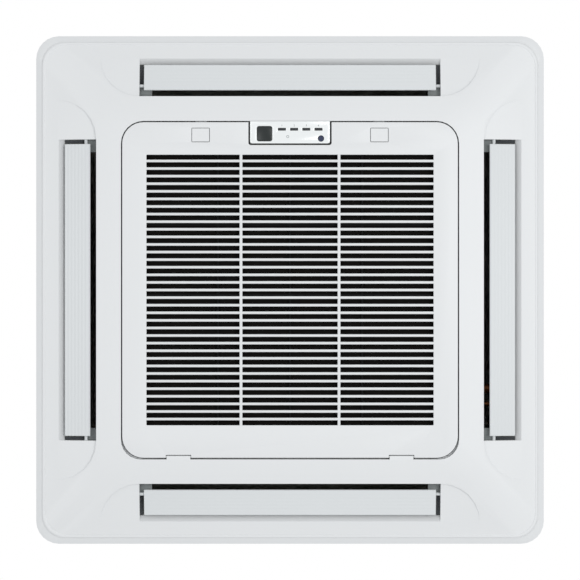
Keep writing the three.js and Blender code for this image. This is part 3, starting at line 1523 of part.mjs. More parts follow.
/** The plate and posts that hang the motor from the casing's top. */
function motorMount() {
  const bottom = MOTOR_BODY_TOP + SEAT_GAP;
  const plate = cylinder(0, 0, MOUNT_R, bottom, bottom + MOUNT_THICK, WIDE_SIDES);
  const posts = [0, 1, 2, 3].map((i) => {
    const angle = Math.PI / 4 + (i * Math.PI) / 2;
    const r = MOUNT_R - MOUNT_POST_R;
    return cylinder(
      r * Math.cos(angle),
      r * Math.sin(angle),
      MOUNT_POST_R,
      bottom + 1,
      ROOF - SEAT_GAP,
      PIN_SIDES,
    );
  });
  return join(plate, ...posts);
}

/** The finned block, bent into a square that is open at one corner. */
function coilFins() {
  const inner = COIL_HALF - COIL_THICK;
  const ring = cut(
    slab(roundedRectangle(COIL_HALF, COIL_HALF, COIL_CORNER), COIL_BOTTOM, COIL_TOP),
    slab(roundedRectangle(inner, inner, COIL_CORNER - COIL_THICK), COIL_BOTTOM - 1, COIL_TOP + 1),
  );
  const open = COIL_OPEN_CORNER;
  const corner = box(open, COIL_HALF + 1, open, COIL_HALF + 1, COIL_BOTTOM - 1, COIL_TOP + 1);
  return cut(ring, corner);
}

/** A thin plate on one end of the finned block. */
function coilEndPlate(alongX) {
  const start = COIL_OPEN_CORNER + SEAT_GAP;
  const inner = COIL_HALF - COIL_THICK;
  const plate = box(start, start + END_PLATE_THICK, inner, COIL_HALF, COIL_BOTTOM, COIL_TOP);
  return alongX ? plate : plate.mirror([1, -1, 0]);
}

/** A copper header with its stub out through the casing's right wall. */
function headerWithStub(y, z, headerR, pipeR) {
  const header = cylinder(HEADER_X, y, headerR, HEADER_BOTTOM, HEADER_TOP);
  const stub = rodAlongX(y, z, pipeR, HEADER_X, STUB_END, PIN_SIDES);
  const bore = rodAlongX(
    y,
    z,
    pipeR - PIPE_WALL,
    STUB_END - PIPE_BORE_LENGTH,
    STUB_END + OVERCUT,
    PIN_SIDES,
  );
  return cut(join(header, stub), bore);
}

/** The gas pipe, whose header is joined to the block's end plate by a short branch. */
function gasPipe() {
  const feed = box(
    HEADER_X - FEED_HALF,
    HEADER_X + FEED_HALF,
    COIL_OPEN_CORNER + END_PLATE_THICK + 2 * SEAT_GAP,
    GAS_Y,
    GAS_Z - FEED_HALF,
    GAS_Z + FEED_HALF,
  );
  return join(headerWithStub(GAS_Y, GAS_Z, GAS_HEADER_R, GAS_PIPE_R), feed);
}

/** The liquid pipe, whose header stands beside the gas header. */
function liquidPipe() {
  return headerWithStub(LIQUID_Y, LIQUID_Z, LIQUID_HEADER_R, LIQUID_PIPE_R);
}

/** A flare nut on the end of a stub. */
function flareNut(y, z, pipeR, cornerR) {
  const x1 = STUB_END - FLARE_NUT_SETBACK;
  const x0 = x1 - FLARE_NUT_LENGTH;
  const nut = rodAlongX(y, z, cornerR, x0, x1, 6);
  return cut(nut, rodAlongX(y, z, pipeR + SEAT_GAP, x0 - OVERCUT, x1 + OVERCUT, PIN_SIDES));
}

// ---- Water side ----

/** A low rib across the drain pan's front trough, which the finned block stands on. */
function troughRib(x) {
  return box(
    x - PAN_RIB_WIDTH / 2,
    x + PAN_RIB_WIDTH / 2,
    -TROUGH_OUTER - OVERCUT,
    -TROUGH_INNER + OVERCUT,
    TROUGH_Z - OVERCUT,
    TROUGH_Z + PAN_RIB_HEIGHT,
  );
}

/** The drain pan: foam block with a square trough, four outlets and the bore for the bell mouth. */
function drainPan() {
  const low = CASING_BOTTOM - OVERCUT;
  const high = PAN_TOP + OVERCUT;
  const trough = cut(
    slab(roundedRectangle(TROUGH_OUTER, TROUGH_OUTER, TROUGH_CORNER), TROUGH_Z, high),
    slab(
      roundedRectangle(TROUGH_INNER, TROUGH_INNER, TROUGH_INNER_CORNER),
      TROUGH_Z - OVERCUT,
      high + OVERCUT,
    ),
  );
  const bore = cylinder(0, 0, PAN_BORE_R, low, high, WIDE_SIDES);
  let pan = cut(casingPrism(FOAM_OUTER, CASING_BOTTOM, PAN_TOP), trough, bore);
  const half = LINER_TOP_HALF_LENGTH;
  const outlet = box(-half, half, -LINER_TOP_OUTER, -LINER_TOP_INNER, low, high);
  const holeTop = CASING_BOTTOM + BOLT_REACH + SEAT_GAP;
  const hole = cylinder(BOLT_XY, BOLT_XY, BOLT_R + RUNNING_GAP, low, holeTop, PIN_SIDES);
  const ribs = join(troughRib(-PAN_RIB_X), troughRib(PAN_RIB_X));
  for (let side = 0; side < 4; side++) {
    pan = cut(pan, quarterTurn(outlet, side), quarterTurn(hole, side));
    pan = join(pan, quarterTurn(ribs, side));
  }
  return pan;
}

/** A flat arm at the height of the pump's arms. */
function pumpArm(x0, x1, y, halfWidth) {
  return box(x0, x1, y - halfWidth, y + halfWidth, PUMP_ARM_Z, PUMP_ARM_Z + PUMP_ARM_THICK);
}

/** The drain pump: motor housing, suction cup round the impeller, and its two arms. */
function drainPump() {
  const body = cylinder(PUMP_X, PUMP_Y, PUMP_R, PUMP_BOTTOM, PUMP_TOP);
  const neck = cylinder(PUMP_X, PUMP_Y, PUMP_CUP_R, PUMP_CUP_BOTTOM, PUMP_BOTTOM + OVERCUT);
  const hollow = cylinder(
    PUMP_X,
    PUMP_Y,
    PUMP_CUP_R - PUMP_CUP_WALL,
    PUMP_CUP_BOTTOM - OVERCUT,
    PUMP_CUP_BOTTOM + IMPELLER_HEIGHT + 3 * IMPELLER_GAP,
  );
  const shaftHole = cylinder(
    PUMP_X,
    PUMP_Y,
    IMPELLER_SHAFT_R + RUNNING_GAP,
    PUMP_CUP_BOTTOM,
    PUMP_BOTTOM + IMPELLER_SHAFT_TOP + 2 * OVERCUT,
    PIN_SIDES,
  );
  const wallArm = pumpArm(PUMP_X, FOAM_INNER - SEAT_GAP, PUMP_Y, PUMP_ARM_WIDTH / 2);
  const floatArm = pumpArm(
    FLOAT_X - FLOAT_STOP_R,
    PUMP_X - PUMP_R + PUMP_ARM_THICK,
    FLOAT_Y,
    FLOAT_ARM_HALF,
  );
  return cut(join(body, neck, wallArm, floatArm), hollow, shaftHole);
}

/** The pump's impeller on its own thin shaft. */
function pumpImpeller() {
  const low = PUMP_CUP_BOTTOM + IMPELLER_GAP;
  const high = low + IMPELLER_HEIGHT;
  const shaftTop = PUMP_BOTTOM + IMPELLER_SHAFT_TOP;
  const shaft = cylinder(PUMP_X, PUMP_Y, IMPELLER_SHAFT_R, low, shaftTop, PIN_SIDES);
  const hub = cylinder(PUMP_X, PUMP_Y, IMPELLER_HUB_R, low, high, PIN_SIDES);
  const half = VANE_THICK / 2;
  const vanes = [45, 135].map((angle) =>
    box(-IMPELLER_R, IMPELLER_R, -half, half, low, high)
      .rotate([0, 0, angle])
      .translate([PUMP_X, PUMP_Y, 0]),
  );
  return join(shaft, hub, ...vanes);
}

/** A line of 3-D points as a path for an extrusion. */
function pathOf(points) {
  const path = new THREE.CurvePath();
  for (let i = 0; i + 1 < points.length; i++) {
    path.add(new THREE.LineCurve3(points[i], points[i + 1]));
  }
  return path;
}

/** A quarter bend of the drain tube, solid, from upright to level. */
function drainBend(radius) {
  const circle = new THREE.Shape();
  circle.absarc(0, 0, radius, 0, Math.PI * 2);
  const foot = DRAIN_Z - DRAIN_BEND;
  const points = Array.from({ length: BEND_STEPS + 1 }, (_, i) => {
    const angle = (i / BEND_STEPS) * (Math.PI / 2);
    const x = PUMP_X + DRAIN_BEND * (1 - Math.cos(angle));
    return new THREE.Vector3(x, PUMP_Y, foot + DRAIN_BEND * Math.sin(angle));
  });
  points.unshift(new THREE.Vector3(PUMP_X, PUMP_Y, foot - OVERCUT));
  points.push(new THREE.Vector3(PUMP_X + DRAIN_BEND + OVERCUT, PUMP_Y, DRAIN_Z));
  const options = {
    steps: BEND_STEPS,
    extrudePath: pathOf(points),
    curveSegments: BEND_STEPS,
    bevelEnabled: false,
  };
  return solid(new THREE.ExtrudeGeometry(circle, options));
}

/** The drain tube's whole run at one radius: up from the pump and out to the right. */
function drainRun(radius, bottom, end) {
  const upright = cylinder(PUMP_X, PUMP_Y, radius, bottom, DRAIN_Z - DRAIN_BEND);
  return join(upright, drainBend(radius), rodAlongX(PUMP_Y, DRAIN_Z, radius, PUMP_X + DRAIN_BEND, end));
}

/** The drain tube, from the pump out through the casing's right wall. */
function drainTube() {
  const bottom = PUMP_TOP + SEAT_GAP;
  const bore = drainRun(DRAIN_R - DRAIN_WALL, bottom - OVERCUT, STUB_END + OVERCUT);
  return cut(drainRun(DRAIN_R, bottom, STUB_END), bore);
}

/** The float switch: a stem below the pump's arm, with a stop at its foot. */
function floatSwitch() {
  const top = PUMP_ARM_Z - SEAT_GAP;
  const foot = FLOAT_LOW - FLOAT_STOP_HEIGHT;
  const stem = cylinder(FLOAT_X, FLOAT_Y, FLOAT_STEM_R, foot, top, PIN_SIDES);
  const stop = cylinder(FLOAT_X, FLOAT_Y, FLOAT_STOP_R, foot, FLOAT_LOW - SEAT_GAP, PIN_SIDES);
  const head = cylinder(FLOAT_X, FLOAT_Y, FLOAT_STOP_R, top - FLOAT_HEAD_HEIGHT, top, PIN_SIDES);
  return join(stem, stop, head);
}

/** The ring that floats up the stem. */
function float() {
  return turned([
    [FLOAT_STEM_R + RUNNING_GAP, FLOAT_LOW],
    [FLOAT_R, FLOAT_LOW],
    [FLOAT_R, FLOAT_LOW + FLOAT_HEIGHT],
    [FLOAT_STEM_R + RUNNING_GAP, FLOAT_LOW + FLOAT_HEIGHT],
  ]).translate([FLOAT_X, FLOAT_Y, 0]);
}

// ---- Electrics ----

/** The electric box: a tray that opens downwards, under the bell mouth's flange. */
function electricBox() {
  const low = BOX_BOTTOM + BOX_WALL + SEAT_GAP;
  return cut(
    box(BOX_X0, BOX_X1, -BOX_HALF_Y, BOX_HALF_Y, low, BOX_TOP),
    box(
      BOX_X0 + BOX_WALL,
      BOX_X1 - BOX_WALL,
      -BOX_HALF_Y + BOX_WALL,
      BOX_HALF_Y - BOX_WALL,
      low - 1,
      BOX_TOP - BOX_WALL,
    ),
  );
}

/** The electric box's lid. */
function electricBoxLid() {
  const lap = BOX_LID_LAP;
  const y = BOX_HALF_Y + lap;
  return box(BOX_X0 - lap, BOX_X1 + lap, -y, y, BOX_BOTTOM, BOX_BOTTOM + BOX_WALL);
}

/** The main circuit board with its relays, under the box's roof. */
function controlBoard() {
  const top = BOX_TOP - BOX_WALL - SEAT_GAP;
  const under = top - BOARD_THICK;
  const margin = BOX_WALL + 1;
  const y0 = -BOX_HALF_Y + margin;
  const board = box(BOX_X0 + margin, BOX_X1 - margin, y0, BOX_HALF_Y - 3 * TERMINAL_HALF_Y, under, top);
  const x0 = (BOX_X0 + BOX_X1 - RELAY_WIDTH) / 2;
  const relays = Array.from({ length: RELAY_COUNT }, (_, i) => {
    const y = y0 + (i + 1) * RELAY_PITCH;
    return box(x0, x0 + RELAY_WIDTH, y, y + RELAY_LENGTH, under - RELAY_HEIGHT, under + BOARD_THICK / 2);
  });
  return join(board, ...relays);
}

/** The terminal block for the supply, with a recess at each pole. */
function terminalBlock() {
  const top = BOX_TOP - BOX_WALL - SEAT_GAP;
  const bottom = top - TERMINAL_HEIGHT;
  const x = (BOX_X0 + BOX_X1) / 2;
  const y1 = BOX_HALF_Y - BOX_WALL - SEAT_GAP - TERMINAL_END_GAP;
  const y0 = y1 - 2 * TERMINAL_HALF_Y;
  const body = box(x - TERMINAL_HALF_X, x + TERMINAL_HALF_X, y0, y1, bottom, top);
  const pitch = (y1 - y0) / TERMINAL_POLES;
  const recesses = Array.from({ length: TERMINAL_POLES }, (_, i) => {
    const y = y0 + (i + 0.5) * pitch;
    const floor = bottom + POLE_DEPTH;
    return box(
      x - POLE_HALF_X,
      x + POLE_HALF_X,
      y - POLE_HALF_Y,
      y + POLE_HALF_Y,
      bottom - OVERCUT,
      floor,
    );
  });
  return cut(body, ...recesses);
}

// ---- Assembly ----

/** The panel, its liners, motors, seal and bolts, and the display. */
function panelGroup() {
  const group = new THREE.Group();
  group.add(piece("panel_frame", panelFrame(), WHITE_PLASTIC));
  SIDES.forEach((side, quarters) => {
    const turn = new THREE.Group();
    turn.rotation.z = (quarters * Math.PI) / 2;
    turn.add(piece(`outlet_liner_${side}`, outletLiner(), FOAM_WHITE));
    turn.add(piece(`flap_motor_${side}`, flapMotor(), GREY_PLASTIC));
    const hung = piece(`flap_${side}`, flap(), WHITE_PLASTIC);
    hung.position.set(0, PIVOT_Y, PIVOT_Z);
    turn.add(hung);
    group.add(turn);
  });
  group.add(piece("duct_seal", ductSeal(), SEAL_GREY));
  let number = 1;
  for (const [sx, sy] of [[-1, -1], [1, -1], [1, 1], [-1, 1]]) {
    group.add(piece(`panel_bolt_${number++}`, panelBolt(sx * BOLT_XY, sy * BOLT_XY), STEEL));
  }
  group.add(piece("display_housing", displayHousing(), WHITE_PLASTIC));
  group.add(piece("display_board", displayBoard(), BOARD_GREEN));
  group.add(piece("display_cover", displayCover(), GLOSS_WHITE));
  group.add(piece("receiver_window", receiverWindow(), DARK_LENS));
  group.add(piece("indicator_light_guide", lightGuide(), LAMP_LENS));
  group.add(piece("manual_button", manualButton(), BUTTON_BLUE));
  return group;
}

/** The hinged grille with its filter and latches. */
function grilleGroup() {
  const group = new THREE.Group();
  group.add(piece("intake_grille", intakeGrille(), WHITE_PLASTIC));
  group.add(piece("filter_frame", filterFrame(), FRAME_GREY));
  group.add(piece("filter_net", filterNet(), FILTER_GREY));
  group.add(piece("latch_left", latch(-LATCH_X), WHITE_PLASTIC));
  group.add(piece("latch_right", latch(LATCH_X), WHITE_PLASTIC));
  return group;
}

/** The unit above the ceiling. */
function unitGroup() {
  const group = new THREE.Group();
  group.add(piece("casing_shell", casingShell(), ZINC_SHEET));
  group.add(piece("casing_insulation", casingInsulation(), FOAM_WHITE));
  group.add(piece("fresh_air_cover", freshAirCover(), ZINC_SHEET));
  group.add(piece("pipe_cover_plate", pipeCoverPlate(), ZINC_SHEET));
  const bracket = hangerBracket();
  const corners = [
    bracket,
    bracket.mirror([1, 0, 0]),
    bracket.mirror([1, 0, 0]).mirror([0, 1, 0]),
    bracket.mirror([0, 1, 0]),
  ];
  corners.forEach((body, i) => group.add(piece(`hanger_bracket_${i + 1}`, body, ZINC_SHEET)));
  group.add(piece("drain_pan", drainPan(), FOAM_WHITE));
  group.add(piece("drain_pump", drainPump(), WHITE_PIPE));
  group.add(piece("pump_impeller", pumpImpeller(), GREY_PLASTIC));
  group.add(piece("drain_tube", drainTube(), WHITE_PIPE));
  group.add(piece("float_switch", floatSwitch(), WHITE_PIPE));
  group.add(piece("float", float(), FLOAT_BLUE));
  group.add(piece("coil_fins", coilFins(), FIN_ALUMINIUM));
  group.add(piece("coil_end_plate_rear", coilEndPlate(true), ZINC_SHEET));
  group.add(piece("coil_end_plate_right", coilEndPlate(false), ZINC_SHEET));
  group.add(piece("gas_pipe", gasPipe(), COPPER));
  group.add(piece("liquid_pipe", liquidPipe(), COPPER));
  group.add(piece("gas_flare_nut", flareNut(GAS_Y, GAS_Z, GAS_PIPE_R, GAS_NUT_R), BRASS));
  group.add(piece("liquid_flare_nut", flareNut(LIQUID_Y, LIQUID_Z, LIQUID_PIPE_R, LIQUID_NUT_R), BRASS));
  return group;
}

/** The fan, its motor and the bell mouth. */
function fanGroup() {
  const group = new THREE.Group();
  group.add(piece("bell_mouth", bellMouth(), BLACK_PLASTIC));
  group.add(piece("turbo_fan", turboFan(), BLACK_PLASTIC));
  group.add(piece("motor_shaft", motorShaft(), STEEL));
  group.add(piece("fan_nut", fanNut(), BRASS));
  group.add(piece("fan_motor", fanMotor(), MOTOR_GREY));
  group.add(piece("motor_mount", motorMount(), ZINC_SHEET));
  return group;
}

/** The box of electrics in the intake well. */
function electricGroup() {
  const group = new THREE.Group();
  group.add(piece("electric_box", electricBox(), ZINC_SHEET));
  group.add(piece("electric_box_lid", electricBoxLid(), ZINC_SHEET));
  group.add(piece("control_board", controlBoard(), BOARD_GREEN));
  group.add(piece("terminal_block", terminalBlock(), BLACK_PLASTIC));
  return group;
}

const cassette = new THREE.Group();
cassette.name = "ceiling_cassette";
cassette.add(panelGroup(), grilleGroup(), unitGroup(), fanGroup(), electricGroup());

export default cassette;
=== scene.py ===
"""Dresses a ceiling cassette air conditioner: finishes, moulded detail, light and camera.

Metres, +Z up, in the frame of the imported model. The panel hangs below z = 0, so the camera
stands under it and looks up. The assemblies give their sizes in millimetres.
"""

import json
import logging
import math
from collections.abc import Iterable, Sequence
from dataclasses import dataclass, field
from enum import Enum

import bmesh
import bpy
from mathutils import Matrix, Vector
from mathutils.geometry import tessellate_polygon

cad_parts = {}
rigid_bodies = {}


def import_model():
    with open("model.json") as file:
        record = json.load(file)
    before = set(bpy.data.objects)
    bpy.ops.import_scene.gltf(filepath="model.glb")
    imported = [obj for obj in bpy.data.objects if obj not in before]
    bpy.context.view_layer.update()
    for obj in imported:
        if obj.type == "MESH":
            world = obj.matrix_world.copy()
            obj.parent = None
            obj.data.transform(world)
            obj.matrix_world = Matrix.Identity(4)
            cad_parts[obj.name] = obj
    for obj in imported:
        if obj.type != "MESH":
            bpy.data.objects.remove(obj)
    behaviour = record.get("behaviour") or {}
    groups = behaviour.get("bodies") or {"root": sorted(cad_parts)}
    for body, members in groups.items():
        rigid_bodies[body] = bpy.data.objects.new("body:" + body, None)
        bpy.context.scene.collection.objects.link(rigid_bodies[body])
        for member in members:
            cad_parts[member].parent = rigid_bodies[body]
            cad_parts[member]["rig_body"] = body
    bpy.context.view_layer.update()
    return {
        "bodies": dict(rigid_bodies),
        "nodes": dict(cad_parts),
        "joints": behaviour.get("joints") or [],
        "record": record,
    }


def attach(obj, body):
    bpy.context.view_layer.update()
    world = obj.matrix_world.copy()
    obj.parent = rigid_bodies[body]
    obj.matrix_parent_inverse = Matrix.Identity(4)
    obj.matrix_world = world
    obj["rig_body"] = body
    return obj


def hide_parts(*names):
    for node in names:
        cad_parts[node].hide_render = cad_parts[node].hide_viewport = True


LOG = logging.getLogger("cassette")

MM = 0.001
TO_METRES = Matrix.Scale(MM, 4)
QUARTER = math.pi / 2
SHARP_ABOVE = math.radians(32.0)  # edges steeper than this stay sharp
ROUNDED_ABOVE = math.radians(34.0)  # edges of a CAD node steeper than this are rounded
SAME_PLANE = math.radians(0.6)  # faces of a CAD node closer than this are merged
SAME_CAP = math.radians(0.05)  # faces of a plate closer than this are merged
SAME_POINT = 1e-6
ROUNDING_STEPS = 2  # faces across a rounded edge of a CAD node
WIDE_FACE_WEIGHT = 80  # weight of wide faces in the shading, in percent
SHARPEST_MITER = 0.4  # least cosine that an outline's corner is set in by

# Roundings of edges, in millimetres
HAIR, FINE, SMALL, PLAIN, MOULDED, SOFT, WIDE = 0.1, 0.2, 0.3, 0.4, 0.45, 0.5, 0.8

Mesh = bpy.types.Mesh
Piece = bpy.types.Object
Tree = bpy.types.NodeTree
Node = bpy.types.Node
Socket = bpy.types.NodeSocket
Pair = tuple[float, float]
Triple = tuple[float, float, float]
Loop = list[Pair]


# ---- Finishes ----


def feed(tree: Tree, node: Node, values: dict) -> None:
    """Links or sets a node's inputs.

    Args:
        tree: The node's tree.
        node: The node.
        values: A socket or a plain value for each input, by the input's name or number.
    """
    for key, value in values.items():
        if isinstance(value, Socket):
            tree.links.new(value, node.inputs[key])
        else:
            node.inputs[key].default_value = value


def add_node(tree: Tree, kind: str, values: dict | None = None) -> Node:
    """Adds a node and feeds its inputs.

    Args:
        tree: The tree that gets the node.
        kind: The node's type.
        values: What feed() takes.

    Returns:
        The node.
    """
    made = tree.nodes.new(kind)
    feed(tree, made, values or {})
    return made


def calculate(tree: Tree, operation: str, *terms: Socket | float) -> Socket:
    """Adds a Math node.

    Args:
        tree: The tree that gets the node.
        operation: What it calculates.
        terms: Its sockets and numbers.

    Returns:
        The socket of its result.
    """
    made = add_node(tree, "ShaderNodeMath", dict(enumerate(terms)))
    made.operation = operation
    return made.outputs["Value"]


class Grain(Enum):
    """How a finish's surface is patterned."""

    MOULDED = "fine moulded skin"
    BEADED = "expanded foam beads"
    SPANGLED = "zinc spangle"
    BRUSHED = "drawn metal"
    WOVEN = "fine net"
    LAYERED = "printed board"


@dataclass(frozen=True)
class Finish:
    """One finish: its colour, gloss and grain.

    Attributes:
        name: Name of the Blender material.
        slot: Material slot of the record that the finish belongs to. It is not used.
        color: Base colour, as an sRGB triple from 0 to 1.
        roughness: Middle of the roughness range.
        metallic: 1 for bare metal.
        grain: Pattern of the surface.
        scale: Cells of the pattern in a metre.
        relief: Depth of the pattern, in millimetres.
        spread: How far the colour strays from its middle.
        coat: Weight of a clear gloss coat.
        shine: Strength of the mirror-like part, 0.5 for common plastics.
        sway: How far the roughness strays from its middle.
        blotch: Cells of the slow variation in a metre.
        coat_roughness: Roughness of the gloss coat.
        brush: Share of the pattern's scale along a drawn metal.
    """

    name: str
    slot: str
    color: Triple
    roughness: float = 0.5
    metallic: float = 0.0
    grain: Grain = Grain.MOULDED
    scale: float = 900.0
    relief: float = 0.02
    spread: float = 0.02
    coat: float = 0.0
    shine: float = 0.5
    sway: float = 0.06
    blotch: float = 9.0
    coat_roughness: float = 0.08
    brush: float = 0.03

    def linear(self, gain: float = 1.0) -> tuple[float, ...]:
        """The colour in linear light with an alpha of 1, brightened or dimmed by a gain."""
        parts = [((c + 0.055) / 1.055) ** 2.4 if c > 0.04045 else c / 12.92 for c in self.color]
        return (*(min(1.0, part * gain) for part in parts), 1.0)

    def build(self) -> bpy.types.Material:
        """Makes the material, or finds it if it is there.

        Returns:
            The Blender material.
        """
        made = bpy.data.materials.get(self.name)
        if made:
            return made
        made = bpy.data.materials.new(self.name)
        made.use_nodes = True
        made.diffuse_color = self.linear()
        tree = made.node_tree
        place = add_node(tree, "ShaderNodeTexCoord").outputs["Object"]
        height = self._pattern(tree, place)
        slow = {"Vector": place, "Scale": self.blotch, "Detail": 4.0}
        slow = add_node(tree, "ShaderNodeTexNoise", slow).outputs["Fac"]
        tone = calculate(tree, "MULTIPLY", calculate(tree, "ADD", height, slow), 0.5)
        tint = add_node(tree, "ShaderNodeValToRGB", {"Fac": tone})
        for end, gain in zip(tint.color_ramp.elements, (1 - self.spread, 1 + self.spread)):
            end.color = self.linear(gain)
        low, high = max(0.03, self.roughness - self.sway), min(1.0, self.roughness + self.sway)
        span = {"Value": tone, "To Min": low, "To Max": high}
        gloss = add_node(tree, "ShaderNodeMapRange", span)
        relief = {"Height": height, "Strength": 1.0, "Distance": self.relief * MM}
        shader = {
            "Base Color": tint.outputs["Color"],
            "Metallic": self.metallic,
            "Roughness": gloss.outputs["Result"],
            "Normal": add_node(tree, "ShaderNodeBump", relief).outputs["Normal"],
            "Specular IOR Level": self.shine,
            "Coat Weight": self.coat,
            "Coat Roughness": self.coat_roughness,
        }
        feed(tree, tree.nodes["Principled BSDF"], shader)
        return made

    def _pattern(self, tree: Tree, place: Socket) -> Socket:
        """Adds the nodes of the grain.

        Args:
            tree: The material's node tree.
            place: Socket of the coordinates.

        Returns:
            The socket that holds the pattern's height, from 0 to 1.
        """
        values = {"Vector": place, "Scale": self.scale}
        if self.grain is Grain.WOVEN:
            waves = [add_node(tree, "ShaderNodeTexWave", values) for _ in "XY"]
            for wave, direction in zip(waves, "XY"):
                wave.bands_direction = direction
            return calculate(tree, "MAXIMUM", *(wave.outputs["Fac"] for wave in waves))
        if self.grain in (Grain.BEADED, Grain.SPANGLED):
            cells = add_node(tree, "ShaderNodeTexVoronoi", values)
            if self.grain is Grain.BEADED:
                return cells.outputs["Distance"]
            grey = add_node(tree, "ShaderNodeRGBToBW", {"Color": cells.outputs["Color"]})
            return grey.outputs["Val"]
        if self.grain is Grain.BRUSHED:
            stretch = {"Vector": place, "Scale": (1.0, 1.0, self.brush)}
            values["Vector"] = add_node(tree, "ShaderNodeMapping", stretch).outputs["Vector"]
        return add_node(tree, "ShaderNodeTexNoise", {**values, "Detail": 3.0}).outputs["Fac"]


WHITE = Finish(
    "white_moulding", "white_plastic", (0.903, 0.910, 0.914), 0.42, relief=0.012, spread=0.006
)
# The flaps' white: a little bluer and less glossy than the panel's, and darkened a little as
# painted shade for the recessed slots they sit in.
SHADED_FLAP = Finish(
    "flap_moulding", "white_plastic", (0.872, 0.885, 0.89), 0.5, relief=0.012, spread=0.006
)
GLOSS = Finish(
    "gloss_cover", "gloss_white", (0.95, 0.962, 0.962), 0.22, relief=0.004, spread=0.004, coat=0.4
)
GREY = Finish("grey_moulding", "grey_plastic", (0.70, 0.72, 0.72))
SHADED = Finish("shaded_moulding", "grey_plastic", (0.50, 0.52, 0.52), 0.55)
LENS = Finish(
    "smoked_lens", "dark_lens", (0.16, 0.18, 0.18), 0.2, relief=0.002, spread=0.03, shine=0.25
)
LAMP = Finish(
    "smoked_lamps", "lamp_lens", (0.20, 0.21, 0.22), 0.35, relief=0.002, spread=0.03, shine=0.2
)
BLUE = Finish("blue_button", "button_blue", (0.16, 0.20, 0.31), 0.4, relief=0.01, shine=0.3)
PRINT = Finish("grey_print", "grey_plastic", (0.32, 0.35, 0.36), 0.6, relief=0.002, shine=0.2)
FAINT = Finish("faint_print", "grey_plastic", (0.74, 0.76, 0.76), 0.6, relief=0.002, shine=0.2)
BOARD = Finish(
    "green_board", "circuit_board", (0.16, 0.40, 0.27), 0.45, 0.0, Grain.LAYERED, 160, spread=0.2
)
FOAM = Finish("bead_foam", "foam", (0.93, 0.93, 0.91), 0.85, 0.0, Grain.BEADED, 320, 0.25, 0.03)
SEAL = Finish("soft_seal", "foam_seal", (0.27, 0.28, 0.29), 0.95, 0.0, Grain.BEADED, 900, 0.1, 0.1)
# Net colour: the net's own brown-grey darkened to near-black, partly as painted shade for the dark
# inside seen between the slats.
NET = Finish(
    "net_weave", "filter_net", (0.085, 0.078, 0.072), 0.8, 0.0, Grain.WOVEN, 130, 0.1, 0.35,
    shine=0.06,
)
FRAME = Finish("dark_moulding", "filter_frame", (0.10, 0.10, 0.10), 0.7, shine=0.06)
ZINC = Finish(
    "zinc_plate", "zinc_sheet", (0.71, 0.725, 0.735), 0.42, 0.8, Grain.SPANGLED, 70, 0.01, 0.09
)
STEEL = Finish(
    "bright_steel", "steel", (0.68, 0.69, 0.70), 0.3, 1.0, Grain.BRUSHED, 700, 0.01, 0.05
)
BLACK = Finish("black_moulding", "black_plastic", (0.10, 0.105, 0.11), relief=0.03, spread=0.05)
MOTOR = Finish("motor_paint", "motor_paint", (0.36, 0.37, 0.39), 0.45, 0.2, spread=0.05)
FINS = Finish("fin_sheet", "fin_aluminium", (0.80, 0.83, 0.85), 0.32, 0.9, Grain.BRUSHED, 500, 0.01)
COPPER = Finish(
    "copper_tube", "copper", (0.80, 0.50, 0.34), 0.3, 1.0, Grain.BRUSHED, 400, 0.01, 0.12
)
BRASS = Finish("brass_nut", "brass", (0.82, 0.68, 0.38), 0.28, 1.0, Grain.BRUSHED, 600, 0.01, 0.06)
PIPE = Finish("white_pipe", "white_pipe", (0.84, 0.85, 0.84), 0.45)
FLOAT = Finish("float_foam", "float_blue", (0.36, 0.50, 0.62), 0.7, 0.0, Grain.BEADED, 700, 0.05)


# ---- Pieces ----


def add_object(name: str, data: bpy.types.ID) -> Piece:
    """Puts a mesh, curve, light or camera in the scene at the origin.

    Args:
        name: Name of the object.
        data: What the object shows.

    Returns:
        The object.
    """
    made = bpy.data.objects.new(name, data)
    bpy.context.scene.collection.objects.link(made)
    return made


def shade(mesh: Mesh) -> None:
    """Smooths a mesh and keeps its steep edges sharp."""
    mesh.polygons.foreach_set("use_smooth", [True] * len(mesh.polygons))
    mesh.set_sharp_from_angle(angle=SHARP_ABOVE)


def evaluated(piece: Piece) -> Mesh:
    """A new mesh from an object with its modifiers.

    Args:
        piece: The object.

    Returns:
        The mesh.
    """
    bpy.context.view_layer.update()
    graph = bpy.context.evaluated_depsgraph_get()
    return bpy.data.meshes.new_from_object(piece.evaluated_get(graph), depsgraph=graph)


def settle(piece: Piece) -> None:
    """Replaces an object's mesh by its evaluated one and removes its modifiers."""
    mesh, old = evaluated(piece), piece.data
    piece.modifiers.clear()
    piece.data = mesh
    bpy.data.meshes.remove(old)


def dress(piece: Piece, finish: Finish) -> None:
    """Gives a piece one finish."""
    piece.data.materials.clear()
    piece.data.materials.append(finish.build())


def place_piece(
    name: str, mesh: Mesh, finish: Finish, body: str, replaces: Sequence[str] = ()
) -> None:
    """Puts a mesh in the scene as a finished piece.

    Args:
        name: Name of the piece.
        mesh: The mesh, in place.
        finish: Its finish.
        body: Name of the CAD body that it rides on.
        replaces: CAD nodes that the piece stands for.
    """
    shade(mesh)
    piece = add_object(name, mesh)
    dress(piece, finish)
    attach(piece, body)
    if replaces:
        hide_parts(*replaces)


